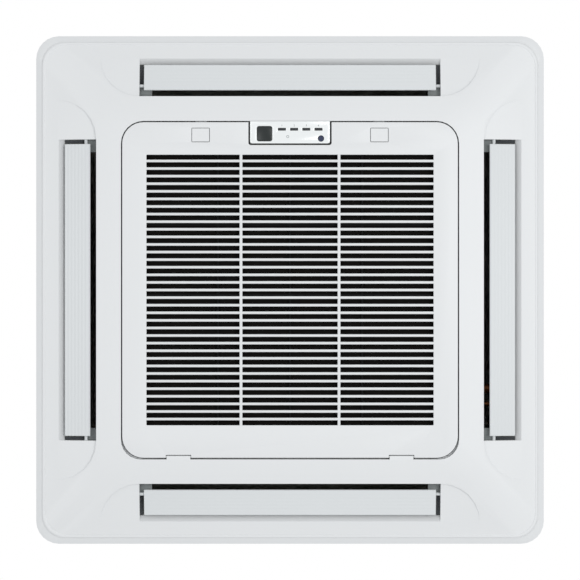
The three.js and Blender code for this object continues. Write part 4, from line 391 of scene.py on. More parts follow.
def rounded_copy(node: Piece, name: str, width: float) -> Piece:
    """A copy of a CAD node with its flat faces merged and its edges rounded.

    Args:
        node: The CAD node.
        name: Name of the new object.
        width: Width of the rounding, in metres.

    Returns:
        The new object, with the shading of its roundings turned towards the wide faces.
    """
    mesh = node.data.copy()
    mesh.name = name
    body = bmesh.new()
    body.from_mesh(mesh)
    bmesh.ops.remove_doubles(body, verts=body.verts, dist=SAME_POINT)
    bmesh.ops.dissolve_limit(
        body, angle_limit=SAME_PLANE, verts=body.verts, edges=body.edges, delimit={"NORMAL"}
    )
    body.to_mesh(mesh)
    body.free()
    copy = add_object(name, mesh)
    bevel = copy.modifiers.new("edges", "BEVEL")
    bevel.width = width
    bevel.segments = ROUNDING_STEPS
    bevel.limit_method = "ANGLE"
    bevel.angle_limit = ROUNDED_ABOVE
    bevel.use_clamp_overlap = True
    settle(copy)
    shade(copy.data)
    even = copy.modifiers.new("even", "WEIGHTED_NORMAL")
    even.keep_sharp = True
    even.weight = WIDE_FACE_WEIGHT
    settle(copy)
    return copy


def points_tree() -> Tree:
    """A Geometry Nodes tree that sets a copy of a part on each point, turned as the point says.

    Returns:
        The tree, whose inputs are Geometry, Part and Finish.
    """
    tree = bpy.data.node_groups.new("copies_on_points", "GeometryNodeTree")
    for name, way, kind in (
        ("Geometry", "INPUT", "Geometry"),
        ("Geometry", "OUTPUT", "Geometry"),
        ("Part", "INPUT", "Object"),
        ("Finish", "INPUT", "Material"),
    ):
        tree.interface.new_socket(name, in_out=way, socket_type=f"NodeSocket{kind}")
    given = add_node(tree, "NodeGroupInput").outputs
    part = add_node(tree, "GeometryNodeObjectInfo", {"Object": given["Part"]})
    part.transform_space = "ORIGINAL"
    turn = add_node(tree, "GeometryNodeInputNamedAttribute", {"Name": "turn"})
    turn.data_type = "FLOAT_VECTOR"
    values = {
        "Points": given["Geometry"],
        "Instance": part.outputs["Geometry"],
        "Rotation": turn.outputs["Attribute"],
    }
    copies = add_node(tree, "GeometryNodeInstanceOnPoints", values).outputs["Instances"]
    real = add_node(tree, "GeometryNodeRealizeInstances", {"Geometry": copies})
    values = {"Geometry": real.outputs["Geometry"], "Material": given["Finish"]}
    paint = add_node(tree, "GeometryNodeSetMaterial", values)
    add_node(tree, "NodeGroupOutput", {"Geometry": paint.outputs["Geometry"]})
    return tree


@dataclass
class Copies:
    """Copies of one small part, each at its own place and turn, as one piece."""

    name: str
    part: Mesh
    finish: Finish
    places: list[tuple[Vector, list[float]]] = field(default_factory=list)

    def add(self, x: float, y: float, z: float, turn: Triple = (0, 0, 0)) -> None:
        """Adds a copy at a point in millimetres, turned by angles in degrees."""
        self.places.append((Vector((x, y, z)) * MM, [math.radians(angle) for angle in turn]))

    def add_on_side(self, apothem: float, along: float, z: float, degrees: float) -> None:
        """Adds a copy on an upright face.

        Args:
            apothem: Distance of the face from the axis.
            along: Place along the face.
            z: Height.
            degrees: Angle that the face looks to.
        """
        spot = heading(math.radians(degrees)) * apothem
        spot += heading(math.radians(degrees + 90)) * along
        self.add(spot.x, spot.y, z, (0, 90, degrees))

    def build(self, body: str, replaces: Sequence[str] = ()) -> None:
        """Makes the piece.

        Args:
            body: Name of the CAD body that it rides on.
            replaces: CAD nodes that the piece stands for.
        """
        points = bpy.data.meshes.new(self.name)
        points.from_pydata([place for place, _ in self.places], [], [])
        turns = points.attributes.new("turn", "FLOAT_VECTOR", "POINT")
        turns.data.foreach_set("vector", [angle for _, turn in self.places for angle in turn])
        holder, part = add_object(f"{self.name}_points", points), add_object("part", self.part)
        modifier = holder.modifiers.new("tree", "NODES")
        modifier.node_group = points_tree()
        values = {"Part": part, "Finish": self.finish.build()}
        for item in modifier.node_group.interface.items_tree:
            if item.name in values:
                modifier[item.identifier] = values[item.name]
        mesh = evaluated(holder)
        for spare in (holder, part):
            bpy.data.objects.remove(spare)
        place_piece(self.name, mesh, self.finish, body, replaces)


# ---- Outlines and meshes, in millimetres ----


def heading(angle: float) -> Vector:
    """The level direction at an angle from +X, in radians."""
    return Vector((math.cos(angle), math.sin(angle), 0))


def rounded(corners: Sequence[Triple], steps: int = 6) -> Loop:
    """A closed outline from corners.

    Args:
        corners: The corners in order, each an (x, y, radius).
        steps: Number of sides of a rounded corner.

    Returns:
        The outline's points.
    """
    points: Loop = []
    for i, (x, y, radius) in enumerate(corners):
        here = Vector((x, y))
        if radius <= 0:
            points.append((x, y))
            continue
        back = (Vector(corners[i - 1][:2]) - here).normalized()
        ahead = (Vector(corners[(i + 1) % len(corners)][:2]) - here).normalized()
        half = back.angle(ahead) / 2
        reach = radius / math.tan(half)
        centre = here + (back + ahead).normalized() * (radius / math.sin(half))
        start = here + back * reach - centre
        turn = start.angle_signed(here + ahead * reach - centre)
        for k in range(steps + 1):
            spun = start.copy()
            spun.rotate(Matrix.Rotation(-turn * k / steps, 2))
            points.append((centre.x + spun.x, centre.y + spun.y))
    return points


def rectangle(
    x0: float, x1: float, y0: float, y1: float, radius: float = 0, steps: int = 4
) -> Loop:
    """A rectangle's outline, with rounded corners if a radius is given."""
    return rounded([(x0, y0, radius), (x1, y0, radius), (x1, y1, radius), (x0, y1, radius)], steps)


def centred(x: float, y: float, size: Pair, radius: float = 0, steps: int = 4) -> Loop:
    """The outline of a rectangle of a width and height around a centre."""
    w, h = size[0] / 2, size[1] / 2
    return rectangle(x - w, x + w, y - h, y + h, radius, steps)


def circle(x: float, y: float, radius: float, sides: int = 32) -> Loop:
    """A circle's outline."""
    angles = [2 * math.pi * i / sides for i in range(sides)]
    return [(x + radius * math.cos(a), y + radius * math.sin(a)) for a in angles]


def area(loop: Loop) -> float:
    """Signed area of an outline, positive if it runs anticlockwise."""
    return sum(x0 * y1 - x1 * y0 for (x0, y0), (x1, y1) in zip(loop, loop[1:] + loop[:1])) / 2


def inset(loop: Loop, amount: float) -> Loop:
    """An outline moved to its left, with its corners kept.

    Args:
        loop: The outline.
        amount: How far it moves.

    Returns:
        The moved outline.
    """
    spots: Loop = []
    for i, point in enumerate(loop):
        here = Vector(point)
        ahead = (Vector(loop[(i + 1) % len(loop)]) - here).normalized()
        behind = (here - Vector(loop[i - 1])).normalized()
        left = Vector((-ahead.y - behind.y, ahead.x + behind.x)).normalized()
        miter = max(SHARPEST_MITER, left.dot(Vector((-ahead.y, ahead.x))))
        spot = here + left * (amount / miter)
        spots.append((spot.x, spot.y))
    return spots


def at(loop: Loop, z: float) -> list[Triple]:
    """An outline's points at a height."""
    return [(x, y, z) for x, y in loop]


def skin(
    body: bmesh.types.BMesh, lines: Iterable[Iterable[Vector | Triple]], joined: bool = False
) -> list[list[bmesh.types.BMVert]]:
    """Adds rings of vertices and the faces between neighbouring rings.

    Args:
        body: What gets the vertices and faces.
        lines: The rings' points. A ring of one point is a tip.
        joined: Whether the last ring joins the first one.

    Returns:
        The rings' vertices.
    """
    rings = [[body.verts.new(point) for point in line] for line in lines]
    for below, above in zip(rings, rings[1:] + rings[: int(joined)]):
        m, n = len(below), len(above)
        for i in range(max(m, n)):
            ring = (below[i % m], below[(i + 1) % m], above[(i + 1) % n], above[i % n])
            body.faces.new(list(dict.fromkeys(ring)))
    return rings


def mesh_of(body: bmesh.types.BMesh, name: str, matrix: Matrix = TO_METRES) -> Mesh:
    """A mesh from a bmesh, which is freed.

    Args:
        body: The bmesh.
        name: Name of the mesh.
        matrix: What the mesh is transformed by.

    Returns:
        The mesh.
    """
    mesh = bpy.data.meshes.new(name)
    body.to_mesh(mesh)
    body.free()
    mesh.transform(matrix)
    return mesh


class Lay(Enum):
    """The axis that a plate's thickness runs along, as the matrix that turns the plate."""

    FLAT = ((1, 0, 0), (0, 1, 0), (0, 0, 1))
    ALONG_X = ((0, 0, 1), (1, 0, 0), (0, 1, 0))
    ALONG_Y = ((1, 0, 0), (0, 0, -1), (0, 1, 0))


def plate(
    loops: Sequence[Loop], low: float, high: float, rounding: float, lay: Lay = Lay.FLAT
) -> Mesh:
    """A closed plate with rounded edges and holes.

    Args:
        loops: The outline and then the holes. Along X they are (y, z) pairs, along Y (x, z) pairs.
        low: Lower end of the thickness. Along Y it is counted towards -Y.
        high: Upper end of the thickness.
        rounding: Radius of the edges.
        lay: The axis that the thickness runs along.

    Returns:
        The mesh.
    """
    levels = [(rounding, low)]
    if rounding > 0:
        for a in (QUARTER / 3, QUARTER * 2 / 3, QUARTER):
            levels.append((rounding * (1 - math.sin(a)), low + rounding * (1 - math.cos(a))))
    levels += [(depth, low + high - z) for depth, z in reversed(levels)]
    body = bmesh.new()
    caps: tuple[list, list] = ([], [])
    flat = []
    for number, raw in enumerate(loops):
        loop = raw if (area(raw) > 0) == (number == 0) else raw[::-1]
        rings = skin(body, [at(inset(loop, depth), z) for depth, z in levels])
        caps[0].extend(rings[0])
        caps[1].extend(rings[-1])
        flat.append([vert.co.copy() for vert in rings[-1]])
    for a, b, c in tessellate_polygon(flat):
        for cap, order in zip(caps, ((a, b, c), (c, b, a))):
            try:
                body.faces.new([cap[i] for i in order])
            except ValueError:
                LOG.debug("a sliver was left out")
    bmesh.ops.recalc_face_normals(body, faces=body.faces)
    bmesh.ops.dissolve_limit(body, angle_limit=SAME_CAP, verts=body.verts, edges=body.edges)
    return mesh_of(body, "plate", Matrix(lay.value).to_4x4() @ TO_METRES)


def turned(profile: Sequence[Pair], sides: int = 32) -> Mesh:
    """A round mesh about Z.

    Args:
        profile: Its (radius, height) pairs from the foot up, from the axis and back to it.
        sides: Number of sides.

    Returns:
        The mesh.
    """
    body = bmesh.new()
    skin(body, [at(circle(0, 0, r, sides if r > 0 else 1), z) for r, z in profile])
    bmesh.ops.recalc_face_normals(body, faces=body.faces)
    return mesh_of(body, "turned")


def tube(points: Sequence[Vector], radius: float, sides: int = 8) -> Mesh:
    """A closed round tube along a line of points.

    Args:
        points: Points of the tube's middle line.
        radius: Radius of the tube.
        sides: Number of sides.

    Returns:
        The mesh.
    """
    body = bmesh.new()
    lines = []
    across = Vector((0, 0, 0))
    for i, here in enumerate(points):
        ahead = (points[min(i + 1, len(points) - 1)] - points[max(i - 1, 0)]).normalized()
        across = ahead.orthogonal() if i == 0 else across - ahead * across.dot(ahead)
        across.normalize()
        other = ahead.cross(across)
        lines.append([here + across * x + other * y for x, y in circle(0, 0, radius, sides)])
    rings = skin(body, lines)
    body.faces.new(rings[0][::-1])
    body.faces.new(rings[-1])
    bmesh.ops.recalc_face_normals(body, faces=body.faces)
    return mesh_of(body, "tube")


def fused(meshes: Iterable[Mesh], quarters: int = 0) -> Mesh:
    """Several meshes as one.

    Args:
        meshes: The meshes, in metres. They are used up.
        quarters: Quarter turns about Z.

    Returns:
        The one mesh.
    """
    body = bmesh.new()
    for mesh in meshes:
        body.from_mesh(mesh)
        bpy.data.meshes.remove(mesh)
    return mesh_of(body, "fused", Matrix.Rotation(QUARTER * quarters, 4, "Z"))


@dataclass(frozen=True)
class Screw:
    """A cross-head screw."""

    radius: float = 3.4
    rise: float = 1.5
    sunk: float = 0.8
    slot_half: float = 1.9
    slot_width: float = 0.45
    lip: float = 0.7
    floor: float = 0.6

    def head(self) -> Mesh:
        """The screw's head, with a floor in its cross-shaped recess."""
        a, b = self.slot_half, self.slot_width
        arm, cross = [(a, -b), (a, b), (b, b)], []
        for _ in range(4):
            cross += arm
            arm = [(-y, x) for x, y in arm]
        head = plate([circle(0, 0, self.radius, 16), cross], -self.sunk, self.rise, MOULDED)
        floor = [circle(0, 0, self.radius - self.lip, 12)]
        return fused([head, plate(floor, -self.sunk, self.floor, 0)])


class Side(Enum):
    """The panel's four sides, as quarter turns from the front."""

    FRONT = 0
    RIGHT = 1
    REAR = 2
    LEFT = 3

    @property
    def word(self) -> str:
        """The side's name in the CAD nodes' names."""
        return self.name.lower()


@dataclass
class Assembly:
    """A sub-assembly of the object, built round its CAD nodes.

    Attributes:
    """

    frame: dict

    def build(self) -> None:
        """Builds and dresses the pieces."""
        raise NotImplementedError

    def keep(self, node: str, finish: Finish) -> None:
        """Gives a CAD node that stays in the scene its finish."""
        for slot in self.frame["nodes"][node].material_slots:
            slot.material = finish.build()

    def round_off(self, finish: Finish, width: float, *nodes: str) -> None:
        """Replaces CAD nodes by rounded copies on the same bodies.

        Args:
            finish: The copies' finish.
            width: Width of the edges' rounding, in millimetres.
            nodes: Names of the CAD nodes.
        """
        for name in nodes:
            node = self.frame["nodes"][name]
            piece = rounded_copy(node, f"{name}_dressed", width * MM)
            dress(piece, finish)
            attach(piece, node["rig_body"])
            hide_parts(name)


# ---- Panel ----


@dataclass
class Panel(Assembly):
    """The panel's moulding, its bead and bolts, and the seals and gussets at the slots' ends. The
    seals' dark colour is partly painted shade for the deep end gaps.
    """

    half: float = 323.5
    corner: float = 29.0
    bead: tuple[Pair, ...] = (
        (8.0, -7.6), (8.7, -8.75), (9.5, -9.15), (10.4, -9.3),
        (11.2, -9.1), (11.6, -8.6), (11.75, -7.9), (11.75, -6.6),
    )
    # Dark seal plates in the slots' end gaps. Their dark colour is partly painted shade for the
    # deep gaps.
    seal: tuple[Pair, Pair, Pair] = ((186.2, 190.7), (-286.0, -246.0), (-7.4, -6.4))
    seal_corner: float = 0.6
    gusset: tuple[Pair, Pair, Pair] = ((175.5, 190.7), (-259.0, -245.8), (-8.2, -7.2))

    def build(self) -> None:
        """Builds the panel's pieces."""
        self.round_off(WHITE, MOULDED, "panel_frame")
        place_piece("panel_bead", self.bead_mesh(), WHITE, "unit")
        self.round_off(STEEL, SMALL, *(f"panel_bolt_{number}" for number in range(1, 5)))
        self.keep("duct_seal", SEAL)
        # The seals' dark colour is partly painted shade in the slots' end gaps.
        place_piece("slot_end_seals", self.at_slot_ends(*self.seal), SEAL, "unit")
        place_piece("slot_corner_gussets", self.at_slot_ends(*self.gusset), SHADED, "unit")

    def at_slot_ends(self, x: Pair, y: Pair, z: Pair) -> Mesh:
        """Small plates at both ends of each slot.

        Args:
            x: Ends along X of the plate at the front slot's right end.
            y: Its ends along Y.
            z: Its ends along Z.

        Returns:
            The eight plates as one mesh.
        """
        plates = []
        for side in Side:
            for ends in (x, (-x[1], -x[0])):
                loop = rectangle(*ends, *y, self.seal_corner)
                plates.append(fused([plate([loop], *z, FINE)], side.value))
        return fused(plates)

    def bead_mesh(self) -> Mesh:
        """The raised bead beside the groove, as a ring that follows the panel's outline."""
        body = bmesh.new()
        lines = []
        for from_edge, z in self.bead:
            h = self.half - from_edge
            lines.append(at(rectangle(-h, h, -h, h, self.corner, 10), z))
        skin(body, lines, True)
        bmesh.ops.recalc_face_normals(body, faces=body.faces)
        return mesh_of(body, "bead")


@dataclass
class FlapSet(Assembly):
    """The four flaps: a hollow-backed blade with fine flutes, ears and pivot pins.

    Heights and distances from the panel's edge follow the CAD's own flap.
    """

    panel_half: float = 323.5
    outer: float = 37.4
    inner: float = 70.3
    bevel: float = 0.8
    thick: float = 2.4
    back_rib: float = 2.6
    half_length: float = 185.2
    face_start: Pair = (28.3, -11.5386)
    face_slope: float = -0.17924
    pivot_from_edge: float = 64.3
    pivot_z: float = -12.1912
    pin_radius: float = 2.0
    pin_root: float = 2.0
    pin_end: float = 194.0
    ear_radius: float = 3.6
    ear_length: float = 5.0
    ear_foot: float = 1.6
    ear_corner: float = 2.6
    flutes: int = 7
    steps: int = 8
    flute_depth: float = 0.36
    faint_depth: float = 0.09

    def face(self, from_edge: float) -> float:
        """Height of the flap's lower face at a distance from the panel's edge."""
        return self.face_start[1] + self.face_slope * (from_edge - self.face_start[0])

    def section(self, depth: float) -> Loop:
        """The blade's section.

        Args:
            depth: Depth of the flutes in its lower face.

        Returns:
            The section's (y, z) pairs.
        """
        start, end = self.outer + self.bevel, self.inner - self.bevel
        count = self.flutes * self.steps
        points = []
        for i in range(count + 1):
            wave = (1 - math.cos(2 * math.pi * i / self.steps)) / 2
            points.append((start + (end - start) * i / count, depth * wave))
        points += [
            (self.inner, self.thick / 2),
            (end, self.thick),
            ((self.outer + self.pivot_from_edge) / 2, self.thick + self.back_rib / 2),
            (start, self.thick * 2 / 3),
            (self.outer, self.thick / 3),
        ]
        return [(d - self.panel_half, self.face(d) + rise) for d, rise in points]

    def ear(self, sign: int) -> list[Mesh]:
        """One ear and its pin.

        Args:
            sign: 1 or -1, for the end along X.

        Returns:
            Their meshes.
        """
        y, z = self.pivot_from_edge - self.panel_half, self.pivot_z
        foot = self.face(self.pivot_from_edge) + self.thick / 2
        r = self.ear_radius
        web = [(y - r - self.ear_foot, foot, 0), (y + r, foot, 0), (y + r, z, 0)]
        web = rounded([*web, (y, z + r, self.ear_corner), (y - r, z, 0)])
        pin = circle(y, z, self.pin_radius, 20)
        ends = sorted((sign * (self.half_length - self.ear_length), sign * self.half_length))
        pins = sorted((sign * (self.half_length - self.pin_root), sign * self.pin_end))
        return [plate([web], *ends, SMALL, Lay.ALONG_X), plate([pin], *pins, SMALL, Lay.ALONG_X)]

    def build(self) -> None:
        """Builds the four flaps, which replace their CAD nodes."""
        for side in Side:
            depth = self.flute_depth if side in (Side.LEFT, Side.RIGHT) else self.faint_depth
            ends = (-self.half_length, self.half_length)
            blade = plate([self.section(depth)], *ends, SOFT, Lay.ALONG_X)
            mesh = fused([blade, *self.ear(-1), *self.ear(1)], side.value)
            body = f"flap_{side.word}"
            # The flaps' finish is darkened a little as painted shade.
            place_piece(f"{body}_dressed", mesh, SHADED_FLAP, body, [body])


@dataclass
class Ducts(Assembly):
    """The foam ducts over the slots and the flap motors beside them."""

    def build(self) -> None:
        """Builds the ducts and motors."""
        for side in Side:
            self.round_off(FOAM, WIDE, f"outlet_liner_{side.word}")
            self.round_off(GREY, PLAIN, f"flap_motor_{side.word}")


# ---- Grille ----


@dataclass
class GrilleLeaf(Assembly):
    """The hinged leaf: a rounded frame round a field of slats between cross bars."""

    half: float = 212.2
    corner: float = 27.0
    face: float = -28.0
    thick: float = 2.5
    face_edge: float = 0.55
    rim_overlap: float = 0.8
    rim_top: float = -19.0
    rim_inset: Pair = (0.3, 2.0)
    notch_half: float = 52.5
    notch_floor: float = -183.3
    notch_corner: float = 3.0
    notch_lip: float = 0.6
    hinge_x: float = 141.0
    hinge_half: float = 16.0
    hinge_depth: float = 3.6
    hinge_corner: float = 0.5
    knuckle: float = 6.0
    knuckle_corner: float = 1.4
    knuckle_from_edge: Pair = (4.6, 0.1)
    knuckle_z: Pair = (-27.8, -23.4)
    latch_x: float = 113.0
    latch_y: float = -196.0
    latch_size: Pair = (23.0, 18.0)
    latch_corner: float = 1.2
    field_x: float = 181.5
    field_corner: float = 1.0
    slat_count: int = 35
    pitch: float = 9.6
    gap: float = 6.1
    slat_face: float = -27.7
    slat_top: float = -19.2
    slat_taper: float = 0.72
    slat_corners: Pair = (1.3, 0.4)
    bar_x: float = 62.0
    bar_width: float = 3.6
    bar_step: float = 0.2
    bar_corner: float = 0.8
    overlap: float = 1.5

    @property
    def field_y(self) -> float:
        """Half the length of the slat field."""
        return (self.slat_count * self.pitch + self.gap) / 2

    def outline(self, depth: float = 0.0) -> Loop:
        """The leaf's outline with the notches for the display and the hinges.

        Args:
            depth: How far the outline is set in.

        Returns:
            The outline.
        """
        h, n = self.half - depth, self.notch_half + depth
        floor, r, c = self.notch_floor + depth, self.corner - depth, self.notch_corner
        lip, tight = self.notch_lip, self.hinge_corner
        points = [(-h, -h, r), (-n, -h, lip), (-n, floor, c), (n, floor, c), (n, -h, lip)]
        points += [(h, -h, r), (h, h, r)]
        back = h - self.hinge_depth
        for x in (self.hinge_x, -self.hinge_x):
            right, left = x + self.hinge_half, x - self.hinge_half
            notch = [(right, h), (right, back), (left, back), (left, h)]
            points += [(*corner, tight) for corner in notch]
        return rounded([*points, (-h, h, r)], 8)

    def frame_meshes(self) -> list[Mesh]:
        """The leaf's plate, with its window and latch recesses, and the rim behind it."""
        window = (2 * self.field_x, 2 * self.field_y)
        holes = [centred(0, 0, window, self.field_corner)]
        for x in (-self.latch_x, self.latch_x):
            holes.append(centred(x, self.latch_y, self.latch_size, self.latch_corner))
        top = self.face + self.thick
        rim = [self.outline(depth) for depth in self.rim_inset]
        return [
            plate([self.outline(), *holes], self.face, top, self.face_edge),
            plate(rim, top - self.rim_overlap, self.rim_top, FINE),
        ]

    def knuckles(self) -> list[Mesh]:
        """The knuckles beside the hinge tongues."""
        far, near = self.knuckle_from_edge
        loop = rectangle(self.half - far, self.half - near, *self.knuckle_z, self.knuckle_corner)
        starts = (-self.hinge_half - self.knuckle, self.hinge_half)
        places = [x + start for x in (-self.hinge_x, self.hinge_x) for start in starts]
        return [plate([loop], x, x + self.knuckle, SMALL, Lay.ALONG_X) for x in places]

    def slat(self) -> Mesh:
        """One slat along X, its rounded nose down."""
        half, depth = (self.pitch - self.gap) / 2, self.slat_top - self.slat_face
        back, (nose, top) = half * self.slat_taper, self.slat_corners
        face = [(-half, 0, nose), (half, 0, nose)]
        loop = rounded([*face, (back, depth, top), (-back, depth, top)], 5)
        reach = self.field_x + self.overlap
        return plate([loop], -reach, reach, HAIR, Lay.ALONG_X)

    def build(self) -> None:
        """Builds the leaf's frame, slats and bars."""
        mesh = fused([*self.frame_meshes(), *self.knuckles()])
        place_piece("grille_frame", mesh, WHITE, "grille", ["intake_grille"])
        slats = Copies("grille_slats", self.slat(), WHITE)
        first = -self.field_y + self.gap + (self.pitch - self.gap) / 2
        for i in range(self.slat_count):
            slats.add(0, first + i * self.pitch, self.slat_face)
        slats.build("grille")
        reach, half = self.field_y + self.overlap, self.bar_width / 2
        bars = []
        for x in (-self.bar_x, self.bar_x):
            low = self.slat_face + self.bar_step
            loop = rectangle(x - half, x + half, low, self.slat_top, self.bar_corner)
            bars.append(plate([loop], -reach, reach, FINE, Lay.ALONG_Y))
        place_piece("grille_cross_bars", fused(bars), WHITE, "grille")


@dataclass
class LatchPair(Assembly):
    """The two press latches, with a small raised arrow on each tab."""

    x: float = 113.0
    y: float = -195.5
    face: float = -28.0
    mark_half: Pair = (2.6, 1.56)
    mark_line: Pair = (1.1, 1.2)
    mark_rise: float = 0.12
    mark_root: float = 0.4
    mark_edge: float = 0.05

    def build(self) -> None:
        """Builds both latches and their marks."""
        (w, h), (across, up) = self.mark_half, self.mark_line
        arrow = [(-w, h), (0, -h), (w, h), (w - across, h), (0, up - h), (across - w, h)]
        for word, sign in (("left", -1), ("right", 1)):
            self.round_off(WHITE, MOULDED, f"latch_{word}")
            loop = [(sign * self.x + dx, self.y + dy) for dx, dy in arrow]
            low, high = self.face - self.mark_rise, self.face + self.mark_root
            mesh = plate([loop], low, high, self.mark_edge)
            place_piece(f"latch_{word}_mark", mesh, WHITE, f"latch_{word}")


@dataclass
class FilterSet(Assembly):
    """The filter: a ribbed frame with a net whose near-black colour is partly painted shade for the
    dark inside behind the slats.
    """

    half_x: float = 190.0
    front: float = -178.0
    back: float = 190.0
    border: float = 8.0
    rib: float = 2.4
    cells: int = 4
    corner: float = 6.0
    cell_corner: float = 1.5
    bottom: float = -18.9
    top: float = -14.9

    def build(self) -> None:
        """Builds the frame and dresses the net."""
        loops = [rectangle(-self.half_x, self.half_x, self.front, self.back, self.corner)]
        wide = (2 * (self.half_x - self.border) + self.rib) / self.cells
        long = (self.back - self.front - 2 * self.border + self.rib) / self.cells
        for i in range(self.cells):
            for j in range(self.cells):
                x = -self.half_x + self.border + i * wide
                y = self.front + self.border + j * long
                ends = (x, x + wide - self.rib, y, y + long - self.rib)
                loops.append(rectangle(*ends, self.cell_corner, 3))
        mesh = plate(loops, self.bottom, self.top, PLAIN)
        place_piece("filter_frame_dressed", mesh, FRAME, "grille", ["filter_frame"])
        # The net's near-black colour is partly painted shade.
        self.keep("filter_net", NET)


# ---- Display ----


@dataclass
class Display(Assembly):
    """The glossy display cover, its window, lamps, button and numerals."""

    half: float = 50.5
    front: float = -213.5
    back: float = -185.3
    face: float = -28.3
    top: float = -26.1
    corner: float = 3.0
    lip: float = 0.6
    play: float = 0.3
    window: Pair = (-32.2, -197.6)
    window_size: Pair = (19.0, 18.7)
    window_top: float = -20.3
    window_corners: Pair = (2.6, 2.8)
    lamp_first: float = -10.2
    lamp_pitch: float = 15.4
    lamp_y: float = -203.2
    lamp_size: Pair = (9.4, 2.7)
    lamp_top: float = -25.4
    lamp_corners: Pair = (0.5, 0.6)
    lamps: int = 4
    guide_margin: float = 3.0
    guide_corner: float = 1.0
    guide_z: Pair = (-25.8, -22.8)
    guide_foot: Pair = (3.0, 3.0)
    guide_foot_z: Pair = (-23.2, -14.3)
    guide_foot_corner: float = 0.4
    button: Pair = (39.2, -191.5)
    button_hole: float = 3.9
    button_profile: tuple[Pair, ...] = (
        (0, -28.36), (1.815, -28.42), (2.8, -28.5), (3.15, -28.4), (3.3, -28.1), (3.3, -25.8),
        (4.0, -25.8), (4.0, -24.8), (1.6, -24.2), (1.6, -15.3), (0, -15.3),
    )
    numeral_size: float = 3.4
    numeral_rise: float = 0.05
    numeral_gap: float = 3.6
    mark: Pair = (-2.9, -193.9)
    mark_radius: float = 1.9

    def lamp_places(self) -> list[Pair]:
        """Centres of the lamps."""
        return [(self.lamp_first + i * self.lamp_pitch, self.lamp_y) for i in range(self.lamps)]

    def hole(self, x: float, y: float, size: Pair, radius: float) -> Loop:
        """A hole with some play round a rectangle of a size."""
        return centred(x, y, (size[0] + 2 * self.play, size[1] + 2 * self.play), radius)

    def cover(self) -> Mesh:
        """The cover's mesh with its cut-outs."""
        w, front, back, c = self.half, self.front, self.back, self.corner
        corners = [(-w, front, self.lip), (w, front, self.lip), (w, back, c), (-w, back, c)]
        holes = [self.hole(*self.window, self.window_size, self.window_corners[1])]
        for place in self.lamp_places():
            holes.append(self.hole(*place, self.lamp_size, self.lamp_corners[1]))
        holes.append(circle(*self.button, self.button_hole))
        return plate([rounded(corners), *holes], self.face, self.top, MOULDED)

    def light_guide(self) -> Mesh:
        """The four lamps with the bar behind them and its two feet."""
        first, last = self.lamp_places()[0], self.lamp_places()[-1]
        margin, y = self.guide_margin, self.lamp_y
        reach = self.lamp_size[0] / 2 + margin
        ends = (first[0] - reach, last[0] + reach, y - margin, y + margin)
        bar = rectangle(*ends, self.guide_corner)
        meshes = [plate([bar], *self.guide_z, SMALL)]
        for place in self.lamp_places():
            lamp = centred(*place, self.lamp_size, self.lamp_corners[0])
            meshes.append(plate([lamp], self.face, self.lamp_top, FINE))
        for place in (first, last):
            foot = centred(*place, self.guide_foot, self.guide_foot_corner)
            meshes.append(plate([foot], *self.guide_foot_z, FINE))
        return fused(meshes)

    def numeral(self, text: str, x: float, y: float) -> Mesh:
        """A numeral on the cover that reads from below.

        Args:
            text: The numeral.
            x: Its middle.
            y: Its foot line.

        Returns:
            The mesh.
        """
        curve = bpy.data.curves.new("numeral", "FONT")
        curve.body = text
        curve.size = self.numeral_size * MM
        curve.align_x = "CENTER"
        curve.extrude = self.numeral_rise * MM
        curve.resolution_u = 3
        holder = add_object("numeral", curve)
        mesh = evaluated(holder)
        bpy.data.objects.remove(holder)
        place = Matrix.Translation(Vector((x, y, self.face)) * MM)
        mesh.transform(place @ Matrix.Rotation(math.pi, 4, "X"))
        return mesh

    def build(self) -> None:
        """Builds the display's pieces."""
        place_piece("display_cover_dressed", self.cover(), GLOSS, "unit", ["display_cover"])
        window = centred(*self.window, self.window_size, self.window_corners[0], 6)
        lens = plate([window], self.face, self.window_top, SOFT)
        place_piece("receiver_window_dressed", lens, LENS, "unit", ["receiver_window"])
        guide = self.light_guide()
        place_piece("light_guide_dressed", guide, LAMP, "unit", ["indicator_light_guide"])
        self.round_off(WHITE, SMALL, "display_housing")
        self.keep("display_board", BOARD)
        button = turned(self.button_profile)
        button.transform(Matrix.Translation(Vector((*self.button, 0)) * MM))
        place_piece("manual_button_dressed", button, BLUE, "button", ["manual_button"])
        numerals = []
        for number, (x, y) in enumerate(self.lamp_places(), 1):
            numerals.append(self.numeral(str(number), x, y - self.numeral_gap))
        place_piece("display_numerals", fused(numerals), PRINT, "unit")
        rings = [circle(*self.mark, self.mark_radius), circle(*self.mark, self.mark_radius / 2)]
        ring = plate(rings, self.face - self.numeral_rise, self.face + self.play, 0)
        place_piece("display_ring_mark", ring, FAINT, "unit")


# ---- Casing ----


